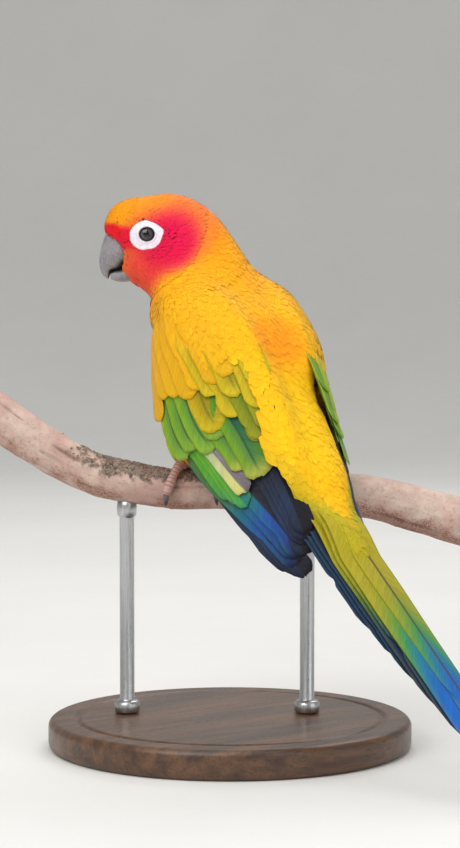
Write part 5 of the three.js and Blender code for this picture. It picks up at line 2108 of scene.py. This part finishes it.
@dataclass
class Coat:
    """The small feathers of head, neck, body and thighs."""

    face: FeatherSize = FeatherSize(2.3, 0.42, 0.46, -0.26, 0.02, 3, 4, 0.5, 0.05, 0.04, 0.14)
    head: FeatherSize = FeatherSize(3.7, 0.66, 0.66, -0.34, 0.03, 5, 4, 0.5, 0.05, 0.05, 0.18)
    neck: FeatherSize = FeatherSize(6.4, 1.3, 1.2, -0.5, 0.04, 5, 5, 0.45, 0.06, 0.06, 0.3)
    body: FeatherSize = FeatherSize(9.5, 2.2, 1.75, -0.6, 0.05, 7, 5, 0.42, 0.05, 0.10, 0.4)
    under: FeatherSize = FeatherSize(8.5, 2.1, 1.8, -0.6, 0.06, 7, 5, 0.42, 0.08, 0.10, 0.4)
    shoulder: FeatherSize = FeatherSize(7.6, 1.7, 1.5, -0.5, 0.06, 7, 5, 0.42, 0.06, 0.08, 0.4)
    thigh: FeatherSize = FeatherSize(5.6, 1.4, 1.5, -0.6, 0.06, 5, 5, 0.45, 0.1, 0.1, 0.08)
    seed: int = 7
    # how finely each wrap of the form is divided, and how many places are drawn on it
    details: tuple[int, ...] = (6, 5, 6, 5)
    draws: tuple[int, ...] = (60000, 26000, 60000, 16000)
    shoulder_draws: int = 10000
    thigh_draws: int = 2600

    def lie(self, points: Array, normals: Array) -> Array:
        """The way the feathers lie at points of the form."""
        bill = HEAD.out(np.array([[0, 15.0, -5.0]]))
        from_bill = unit(points - bill)
        from_head = np.linalg.norm(points - HEAD.origin, axis=1)
        back = np.tile(TORSO.way((0, -1, 0)), (len(points), 1))
        share = smooth(from_head, 20, 48)[:, None]
        way = mix(from_bill, back, share)
        rear = smooth(-TORSO.own(points)[:, 1], 40, 70)[:, None]
        way = mix(way, np.tile(TAIL.way((0, -1, 0)), (len(points), 1)), rear)
        way = laid(way, normals)
        own = HEAD.own(points)
        around = EYES[Side.LEFT].around(own)
        close = (1 - smooth(around, 1.0, 2.1)) * (np.abs(own[:, 0]) > 6) * (from_head < 26)
        out = HEAD.axes @ np.stack([np.zeros(len(own)), own[:, 1], own[:, 2] * 1.2])
        out = unit(out.T)
        inward = np.minimum((way * out).sum(axis=1), 0)
        way = way - out * (inward * close)[:, None] * 1.15
        return laid(way, normals)

    def roots(self, cover: Cover, rng: np.random.Generator) -> tuple[Array, Array, Array]:
        """Where feathers grow, with the spacing that each region has.

        Args:
            cover: the wings, which hide some places and raise others.
            rng: the seeded draws.

        Returns:
            Places on the form, the same places raised, and their regions.
        """
        candidates = []
        for wrap, detail, count in zip(FORM.wraps, self.details, self.draws):
            candidates.append(scattered(*FORM.wrapped(*wrap, detail), count, rng))
        points = FORM.settle(np.vstack(candidates), 0.0, 1)
        tail = TAIL.own(points)
        end = -34 + rng.normal(0, 1.5, len(points)) + 0.05 * tail[:, 0] ** 2
        gone = self.bare(points) | cover.hides(points)
        gone |= (tail[:, 1] < end) & (np.abs(tail[:, 0]) < 20)
        points = points[~gone]
        region = self.regions(points)
        raised = cover.settle(points, np.zeros(len(points)))
        astray = cover.astray(points, raised)
        points, region, raised = points[~astray], region[~astray], raised[~astray]
        spacing = np.array([s.spacing for s in self.sizes])[region]
        kept = thinned(raised, spacing, rng)
        return points[kept], raised[kept], region[kept]

    @property
    def sizes(self) -> tuple[FeatherSize, ...]:
        """The sizes of face, head, neck, body and underside, in the order of their regions."""
        return self.face, self.head, self.neck, self.body, self.under

    def regions(self, points: Array) -> Array:
        """The region of each point: 0 face, 1 head, 2 neck, 3 body, 4 underside."""
        own = HEAD.own(points)
        far = np.linalg.norm(own * (1, 1, 0.9), axis=1)
        eye = EYES[Side.LEFT].around(own)
        face = ((eye < 1.75) & (np.abs(own[:, 0]) > 5)) | (own[:, 1] > 5.5)
        torso = TORSO.own(points)
        region = np.where(torso[:, 2] < -6, 4, 3)
        region = np.where(far < 40, 2, region)
        region = np.where(far < HEAD_REACH, 1, region)
        return np.where((far < HEAD_REACH) & face, 0, region)

    def bare(self, points: Array) -> Array:
        """Which places carry no feathers: the ring round the eye, and the bill."""
        own = HEAD.own(points)
        eye = EYES[Side.LEFT].around(own)
        none = (eye < 1.0) & (np.abs(own[:, 0]) > 6) & (np.linalg.norm(own, axis=1) < HEAD_REACH)
        near = np.where(np.linalg.norm(own - (0, 14, -6), axis=1) < 20)[0]
        bill = Bill()
        for rings in (bill.upper, bill.lower):
            corners, quads = capped_tube(rings, 0.25)
            tree = BVHTree.FromPolygons([tuple(p) for p in corners],
                                        [tuple(q[:3]) if q[3] == q[2] else tuple(q)
                                         for q in quads.tolist()])
            for i in near:
                at, out, _, distance = tree.find_nearest(tuple(points[i]))
                inside = (points[i] - np.array(at)) @ np.array(out) < 0
                none[i] |= bool(inside or distance < 0.35)
        return none

    def bake_places(self, points: Array, head: bool) -> Array:
        """Each root's place on an unwrap of the form: round its axis, and along it."""
        own = HEAD.own(points) if head else TORSO.own(points)
        turned = np.arctan2(own[:, 0], own[:, 2]) / TURN + 0.5
        low, high = own[:, 1].min(), own[:, 1].max()
        along = (own[:, 1] - low) / max(high - low, 1e-6)
        return 0.01 + 0.98 * np.stack([turned, along], axis=1)

    def tints(self, roots: Array, ways: Array, length: float, rng: np.random.Generator,
              own: float) -> Callable[[Array, Array, Array, Array], Array]:
        """A function that colours feathers: by their place, each a little of its own, with painted
        shade towards their roots.
        """
        at_root = MARKINGS.colour(roots + ways * length * 0.55)
        shade = rng.normal(0, 0.025, len(roots))
        warm = rng.normal(0, 0.03, len(roots))

        def colour(points: Array, u: Array, x: Array, which: Array) -> Array:
            made = mix(MARKINGS.colour(points), at_root[which], own)
            # painted shade: each feather darker towards its root, which lies under the feathers
            # over it
            down = 0.12 * (1 - smooth(u, 0.1, 0.5))
            made = made * (1 - down)[:, None]
            edge = smooth(u, 0.72, 1.0) * 0.05 - 0.03 * (np.abs(x) > 0.7)
            level = (1 + shade[which] + edge)[:, None]
            tone = np.stack([1 + 0 * u, 1 + warm[which], 1 + 0 * u], axis=1)
            return np.clip(made * level * tone, 0, 1)

        return colour

    def build(self) -> None:
        """Plants every region, and the thighs."""
        rng = np.random.default_rng(self.seed)
        cover = Cover()
        feet, roots, region = self.roots(cover, rng)
        normals = cover.normal(roots)
        ways = laid(self.lie(feet, FORM.normal(feet)), normals)
        names = ("face", "head", "neck", "back", "underside")
        own = HEAD.own(feet)
        eye = EYES[Side.LEFT].around(own)
        beside = (np.abs(own[:, 0]) > 6) & (np.linalg.norm(own, axis=1) < HEAD_REACH)
        for number, (name, size) in enumerate(zip(names, self.sizes)):
            here = region == number
            count = int(here.sum())
            scale = np.stack([rng.uniform(0.88, 1.12, count), rng.uniform(0.9, 1.1, count)],
                             axis=1)
            short = mix(0.55, 1.0, smooth(eye[here], 1.0, 1.6))
            scale[:, 0] *= np.where(beside[here], short, 1.0)
            pile = Pile(f"coat_{name}")
            tints = self.tints(feet[here], ways[here], size.length, rng, 0.6)
            SmallFeathers(size, rng).lay(
                pile, roots[here], ways[here], scale, tints,
                self.bake_places(feet[here], number < 2), cover.settle, normals[here],
                cover.normal)
            finish = PlumageFinish("fine" if number < 2 else "contour")
            rideable(pile.build(finish), "plumage_orange")
        for side in Side:
            self.shoulders(side, cover, rng)
        self.thighs(rng)

    def shoulders(self, side: Side, cover: Cover, rng: np.random.Generator) -> None:
        """The small coverts over the bend of a wing, which run on from the neck's feathers."""
        wing = WINGS[side]
        s = rng.uniform(-0.01, 0.34, self.shoulder_draws)
        t = rng.uniform(0.0, 0.95, self.shoulder_draws)
        keep = s < np.interp(t, (0, 0.5, 1), (0.25, 0.29, 0.33))
        s, t = s[keep], t[keep]
        points = wing.off_body(wing.surface.point(s, t), 0.3)
        chosen = thinned(points, np.full(len(points), self.shoulder.spacing), rng)
        s, t, points = s[chosen], t[chosen], points[chosen]
        normals = wing.surface.normal(np.maximum(s, 0), t)
        ahead = wing.surface.point(s + 0.03, t) - wing.surface.point(s, t)
        ways = laid(ahead, normals)
        scale = np.stack([mix(0.75, 1.1, smooth(s, 0, 0.25)) * rng.uniform(0.92, 1.08, len(s)),
                          rng.uniform(0.9, 1.1, len(s))], axis=1)
        shade = rng.normal(0, 0.03, len(s))
        mixed = mix(0.9, 0.15, smooth(s, -0.02, 0.2))[:, None]
        back = mix(0.7, 0.0, smooth(t, 1.02, 0.7))[:, None]
        gold = mix(gradient(((0, "f2a20a"), (0.15, "eeac0a"), (0.3, "e9ae0b")), s),
                   linear("f6b90a"), back)
        whole = mix(gold, MARKINGS.colour(points), mixed)

        def tints(places: Array, u: Array, x: Array, which: Array) -> Array:
            # painted shade: darker towards each feather's root, under the feathers over it
            level = 1 + shade[which] + 0.05 * smooth(u, 0.7, 1.0) - 0.1 * (1 - smooth(u, 0.1, 0.5))
            return np.clip(whole[which] * level[:, None], 0, 1)

        pile = Pile(f"coat_shoulder_{side.word}")
        SmallFeathers(self.shoulder, rng).lay(
            pile, points, ways, scale, tints, 0.01 + 0.98 * np.stack([s / 0.35 + 0.05, t], axis=1),
            cover.settle, normals, cover.normal)
        rideable(pile.build(PlumageFinish()), "plumage_yellow")

    def thighs(self, rng: np.random.Generator) -> None:
        """The tuft of feathers on each leg."""
        for side, leg in LEGS.items():
            form = leg.thigh()
            ways = unit(rng.normal(0, 1, (self.thigh_draws, 3)))
            points = form.place.out(ways * np.array(THIGH) @ turn("x", 20).T)
            points = points[thinned(points, np.full(len(points), self.thigh.spacing), rng)]
            normals = outwards(form.distance, points)
            clear = (FORM.distance(points) > -0.5) & (points[:, 2] > PERCH_HEIGHT + 9.0)
            points, normals = points[clear], normals[clear]
            down = unit(np.tile(np.array((0.0, -0.15, -1.0)), (len(points), 1)))
            lie = laid(down, normals)

            def out(places: Array) -> Array:
                return outwards(form.distance, places)

            def settle(places: Array, heights: Array) -> Array:
                return settled(form.distance, places, heights, 2)

            def tints(places: Array, u: Array, x: Array, which: Array) -> Array:
                made = np.tile(linear("fb961a"), (len(places), 1))
                low = smooth(PERCH_HEIGHT + 16 - places[:, 2], 0, 8)[:, None]
                # painted shade: each feather darker towards its root, under the feathers over it
                return mix(made, linear("fbb41c"), 1 - low) * (0.88 + 0.12 * u)[:, None]

            pile = Pile(f"coat_thigh_{side.word}")
            turned = np.arctan2(normals[:, 0], normals[:, 1]) / TURN + 0.5
            tall = (points[:, 2] - points[:, 2].min()) / np.ptp(points[:, 2])
            SmallFeathers(self.thigh, rng).lay(
                pile, points, lie, np.ones((len(points), 2)), tints,
                0.01 + 0.98 * np.stack([turned, tall], axis=1), settle, normals, out)
            rideable(pile.build(PlumageFinish()), "plumage_orange")


@dataclass
class Skin:
    """One skin under the feathers: body, neck, head, the tail's root, thighs and wing plates."""

    depth: float = 0.95
    at_eye: float = 2.15
    voxel: float = 1.3
    relax: int = 4
    details: tuple[int, ...] = (5, 5, 5, 4)

    def build(self) -> None:
        """Joins closed shells, makes them one surface, and lays it inside the form."""
        pile = Pile("skin")
        for wrap, detail in zip(FORM.wraps, self.details):
            points, faces = FORM.wrapped(*wrap, detail)
            pile.add(points, np.column_stack([faces, faces[:, 2]]))
        for leg in LEGS.values():
            points, faces = ball(4)
            points = leg.thigh().place.out(points * (np.array(THIGH) - 0.8) @ turn("x", 20).T)
            points[:, 2] = np.maximum(points[:, 2], PERCH_HEIGHT + 12.5)
            pile.add(points, np.column_stack([faces, faces[:, 2]]))
        for wing in WINGS.values():
            pile.add(*wing.plate())
        rough = pile.build(SkinFinish())
        remesh = rough.modifiers.new("one surface", "REMESH")
        remesh.mode = "VOXEL"
        remesh.voxel_size = self.voxel * MM
        smoother = rough.modifiers.new("relaxed", "SMOOTH")
        smoother.iterations = self.relax
        mesh = bpy.data.meshes.new_from_object(
            rough.evaluated_get(bpy.context.evaluated_depsgraph_get()))
        bpy.data.objects.remove(rough)
        mesh.name = "skin"
        points = np.zeros(len(mesh.vertices) * 3, np.float32)
        mesh.vertices.foreach_get("co", points)
        points = points.reshape(-1, 3).astype(float) / MM
        distance = FORM.distance(points)
        own = np.abs(distance) < 2.0
        head = HEAD.own(points[own])
        from_eye = np.hypot(head[:, 1], head[:, 2])
        near = (from_eye < 12) & (np.abs(head[:, 0]) > 5)
        depth = self.depth + self.at_eye * near * (1 - smooth(from_eye, 5, 9))
        points[own] = FORM.settle(points[own], -depth, 2)
        mesh.vertices.foreach_set("co", (points * MM).astype(np.float32).ravel())
        layer = mesh.attributes.new("tint", "FLOAT_COLOR", "POINT")
        colour = MARKINGS.colour(points) * 0.88
        layer.data.foreach_set("color", np.hstack([colour, np.ones((len(colour), 1))])
                               .astype(np.float32).ravel())
        mesh.materials.clear()
        mesh.materials.append(SkinFinish().material())
        mesh.polygons.foreach_set("use_smooth", np.ones(len(mesh.polygons), bool))
        mesh.update()
        rideable(linked("skin", mesh), "plumage_orange", "torso", "neck", "head", "tail",
                 "wing_left", "wing_right", "leg_left", "leg_right")


# Branch and stand


def noised(points: Array, size: float) -> Array:
    """Smooth noise at points, whose lumps are of a size."""
    return np.array([noise.noise(Vector(p) / size) for p in points.tolist()])


@dataclass
class Branch:
    """The perch: a cut length of branch, most of its bark worn away."""

    steps: int = 420
    sides: int = 84
    crust: float = 0.4
    flake_gap: float = 0.55
    flake_width: float = 0.6
    flake_density: float = 2.0e6
    seed: int = 5

    def build(self) -> None:
        """Makes the branch."""
        u = np.linspace(0, 1, self.steps)
        line = Curve([PERCH.out(np.array(s[:3], float)) for s in BRANCH]).at(u)
        radius = stepped([s[3] for s in BRANCH], u)
        rings = tube_rings(line, radius, radius, np.array((0, 0, 1.0)), self.sides)
        out = unit(rings - line[:, None]).reshape(-1, 3)
        flat = rings.reshape(-1, 3)
        along = np.repeat(mix(BRANCH[0][0], BRANCH[-1][0], u), self.sides)
        turned = np.tile(circle(self.sides), self.steps)
        up = out[:, 2]
        wide, mid, fine = noised(flat, 17.0), noised(flat + 40, 5.5), noised(flat - 90, 1.7)
        ribs = noised(np.stack([along / 26, np.cos(turned) * 4, np.sin(turned) * 4], axis=1), 1.0)
        top = smooth(up, -0.1, 0.75)
        here = np.exp(-(((along + 7) / 32) ** 4))
        bark = smooth(wide * 0.3 + mid * 0.7 + fine * 0.6 + top * here * 1.5 - 0.8, -0.25, 0.5)
        # reddish-brown patches spread by noise, far more of them where the surface faces down
        stain = smooth(0.9 * wide + 0.9 * mid - up * 0.9, 0.1, 1.0)
        cracks = smooth(-ribs, 0.34, 0.52) * (0.35 + 0.65 * smooth(mid, -0.2, 0.3))
        ends = np.minimum(np.arange(self.steps), np.arange(self.steps)[::-1])
        round_off = np.repeat(-0.9 * (1 - np.minimum(ends / 4, 1)) ** 2, self.sides)
        height = (bark * (self.crust + 0.35 * fine) + 0.5 * wide + 0.22 * mid
                  - cracks * 0.55 + 0.05 * fine + round_off - 0.55)
        flat = flat + out * height[:, None]
        points, quads = capped_tube(flat.reshape(rings.shape))
        growth = np.vstack([np.stack([along / 100, turned / TURN], axis=1), [[0, 0], [1, 1]]])
        cut = np.append(np.zeros(len(flat)), [1.0, 1.0])
        values = {"bark": np.append(bark, [0, 0]), "fold": np.append(cracks, [0, 0]),
                  "stain": np.append(stain, [0, 0]), "ends": cut}
        pile = Pile("weathered_branch")
        pile.add(points, quads, None, values, {"Growth": growth})
        branch = pile.build(BarkFinish())
        flakes = self.flakes(branch)
        rideable(branch, "bark", "perch_branch")
        rideable(flakes, "bark")

    def flakes(self, branch: bpy.types.Object) -> bpy.types.Object:
        """Small flakes of bark on the branch, as a mesh of their own."""
        tree = flakes_tree()
        sizes = {"Nearest": self.flake_gap * MM, "Density": self.flake_density,
                 "Wide": self.flake_width * MM, "Seed": self.seed,
                 "Finish": FLAKES.material()}
        modifier = branch.modifiers.new("flakes", "NODES")
        modifier.node_group = tree
        for socket in tree.interface.items_tree:
            if socket.name in sizes:
                modifier[socket.identifier] = sizes[socket.name]
        bpy.context.view_layer.update()
        shown = branch.evaluated_get(bpy.context.evaluated_depsgraph_get())
        mesh = bpy.data.meshes.new_from_object(shown)
        branch.modifiers.remove(modifier)
        return linked("bark_flakes", mesh)


@dataclass
class Stand:
    """The display stand: a turned base and two rods with collars."""

    collar_radius: float = 5.2
    collar_height: float = 5.0
    slices: int = 128
    rod_slices: int = 48

    def lathe(self, name: str, profile: Sequence[tuple[float, float]],
              middle: Sequence[float], slices: int) -> Pile:
        """A closed turned shape, from radius and height pairs that start and end on the axis."""
        profile = np.array(profile, float)
        turns = circle(slices)
        inner = profile[1:-1]
        rings = np.stack([inner[:, :1] * np.cos(turns), inner[:, :1] * np.sin(turns),
                          np.repeat(inner[:, 1:], slices, axis=1)], axis=-1)
        points, quads = capped_tube(rings)
        points[-2:] = [(0, 0, profile[0, 1]), (0, 0, profile[-1, 1])]
        pile = Pile(name)
        pile.add(points + np.array(middle, float), facing(points, quads))
        return pile

    def build(self) -> None:
        """Makes base, rods and collars."""
        r, h = BASE_RADIUS, BASE_THICKNESS
        arc = [(r - 3 + 3 * math.sin(a), h - 3 + 3 * math.cos(a))
               for a in np.linspace(0, math.pi / 2, 9)]
        foot = [(r, 3.0), (r - 0.3, 1.6), (r - 1.2, 0.6), (r - 2.2, 0.0)]
        top = [(0, h), (8, h), (r - 14, h), (r - 13, h - 0.02), (r - 12.4, h - 0.7),
               (r - 11.6, h - 0.9), (r - 10.8, h - 0.7), (r - 10.2, h - 0.02), (r - 9, h)]
        profile = top + arc + foot + [(r - 12, 0.0), (0, 0.0)]
        rideable(self.lathe("turned_base", profile, (0, 0, 0), self.slices)
                 .build(TimberFinish()), "base_wood", "stand_base")
        for n, along in enumerate(RODS_ALONG):
            x, y, _ = on_branch(along, 90, 0)
            end = float(on_branch(along, -90, 0)[2]) + 3.0
            low = h + 0.3
            c, k = self.collar_radius, self.collar_height
            rod = ROD_RADIUS
            profile = ((0, low), (c - 0.6, low), (c, low + 0.6), (c, low + k - 1),
                       (c - 0.9, low + k), (rod + 0.3, low + k), (rod, low + k + 0.6),
                       (rod, end - 9.0), (rod + 0.2, end - 8.4), (rod + 0.9, end - 7.8),
                       (rod + 1.1, end - 4.5), (rod + 0.6, end), (0, end))
            name = "right" if n else "left"
            rideable(self.lathe(f"rod_{name}", profile, (x, y, 0), self.rod_slices)
                     .build(STEEL), "rod_steel", f"stand_rod_{name}")


# Studio


@dataclass
class Studio:
    """Camera, floor and soft lights."""

    azimuth: float = -39.0
    elevation: float = 3.0
    distance: float = 950.0
    focal: float = 2318.0
    frame_size: tuple[int, int] = (460, 848)
    aim: tuple[float, float, float] = (-4.663, 13.776, 104.0)
    aim_at: tuple[float, float] = (200.0, 490.0)
    sensor: float = 36.0
    floor_sides: int = 96
    floor_flat: float = 1.6
    floor_bend: float = 1.2
    # name, degrees round from the camera, elevation, distance, size, power and colour
    lights: tuple[tuple, ...] = (
        ("key", -32, 42, 1.5, 1.1, 15, (1.0, 0.985, 0.96)),
        ("fill", 48, 22, 1.6, 1.4, 7, (0.96, 0.98, 1.0)),
        ("back", 165, 48, 1.5, 0.9, 7, (1.0, 1.0, 1.0)),
        ("over", 0, 86, 1.6, 1.3, 8, (1.0, 1.0, 1.0)),
    )

    def axes(self) -> tuple[Array, Array, Array]:
        """The camera's directions: backwards, right and up."""
        a, e = math.radians(self.azimuth), math.radians(self.elevation)
        back = np.array([math.sin(a) * math.cos(e), -math.cos(a) * math.cos(e), math.sin(e)])
        right = unit(np.cross(-back, (0, 0, 1)))
        return back, right, np.cross(right, -back)

    def camera(self) -> None:
        """The camera, at the photograph's angle and framing."""
        back, right, up = self.axes()
        wide, high = self.frame_size
        eye = (np.array(self.aim) + back * self.distance
               - right * (self.aim_at[0] - wide / 2) / self.focal * self.distance
               + up * (self.aim_at[1] - high / 2) / self.focal * self.distance)
        data = bpy.data.cameras.new("camera")
        data.lens = self.focal / high * self.sensor
        data.sensor_width = self.sensor
        data.clip_start, data.clip_end = 0.05, 40.0
        camera = linked("camera", data)
        turned = Matrix([list(row) for row in np.stack([right, up, back], axis=1)]).to_4x4()
        camera.matrix_world = Matrix.Translation(tuple(eye * MM)) @ turned
        bpy.context.scene.camera = camera

    def light(self, name: str, azimuth: float, elevation: float, distance: float, size: float,
              power: float, colour: Sequence[float]) -> None:
        """A soft square light that faces the model. Distances in metres."""
        a, e = math.radians(azimuth), math.radians(elevation)
        way = Vector((math.sin(a) * math.cos(e), -math.cos(a) * math.cos(e), math.sin(e)))
        data = bpy.data.lights.new(name, "AREA")
        data.energy, data.size, data.color = power, size, colour
        made = linked(name, data)
        made.location = Vector((0, 0, 0.15)) + way * distance
        made.rotation_mode = "QUATERNION"
        made.rotation_quaternion = way.to_track_quat("Z", "Y")

    def floor(self) -> None:
        """A round pale floor whose far edge curves up."""
        sides, flat, bend = self.floor_sides, self.floor_flat, self.floor_bend
        turns = circle(sides)
        curve = [(radius, 0.0) for radius in np.linspace(0.02, flat, 12)]
        curve += [(flat + bend * math.sin(a), bend - bend * math.cos(a))
                  for a in np.linspace(0.06, math.pi / 2, 24)]
        curve += [(flat + bend, z) for z in (1.6, 2.0, 2.4)]
        rings = np.array([[(r * math.cos(t), r * math.sin(t), z) for t in turns]
                          for r, z in curve]) / MM
        points = np.vstack([rings.reshape(-1, 3), [[0, 0, 0]]])
        j = np.arange(sides)
        hub = np.full(sides, len(points) - 1)
        centre = np.stack([hub, j, (j + 1) % sides, (j + 1) % sides], axis=1)
        quads = np.vstack([flipped(grid_quads(len(curve), sides, True)), centre])
        pile = Pile("studio_floor")
        pile.add(points, quads)
        pile.build(FLOOR)

    def build(self) -> None:
        """Makes all of it."""
        self.camera()
        self.floor()
        for name, round_by, *values in self.lights:
            self.light(name, self.azimuth + round_by, *values)
        world = bpy.data.worlds.new("studio")
        world.use_nodes = True
        world.node_tree.nodes["Background"].inputs[0].default_value = (0.86, 0.88, 0.9, 1)
        world.node_tree.nodes["Background"].inputs[1].default_value = 0.36
        bpy.context.scene.world = world
        bpy.context.scene.view_settings.view_transform = "Standard"


def main() -> None:
    """Builds the scene, piece by piece."""
    logging.basicConfig(level=logging.INFO, format="%(name)s: %(message)s")
    Studio().build()
    Skin().build()
    Bill().build()
    for side in Side:
        EYES[side].build()
        LEGS[side].build()
        WINGS[side].build()
    Tail().build()
    Coat().build()
    Branch().build()
    Stand().build()
    LOG.info("all pieces are in place")


if __name__ == "__main__":
    main()
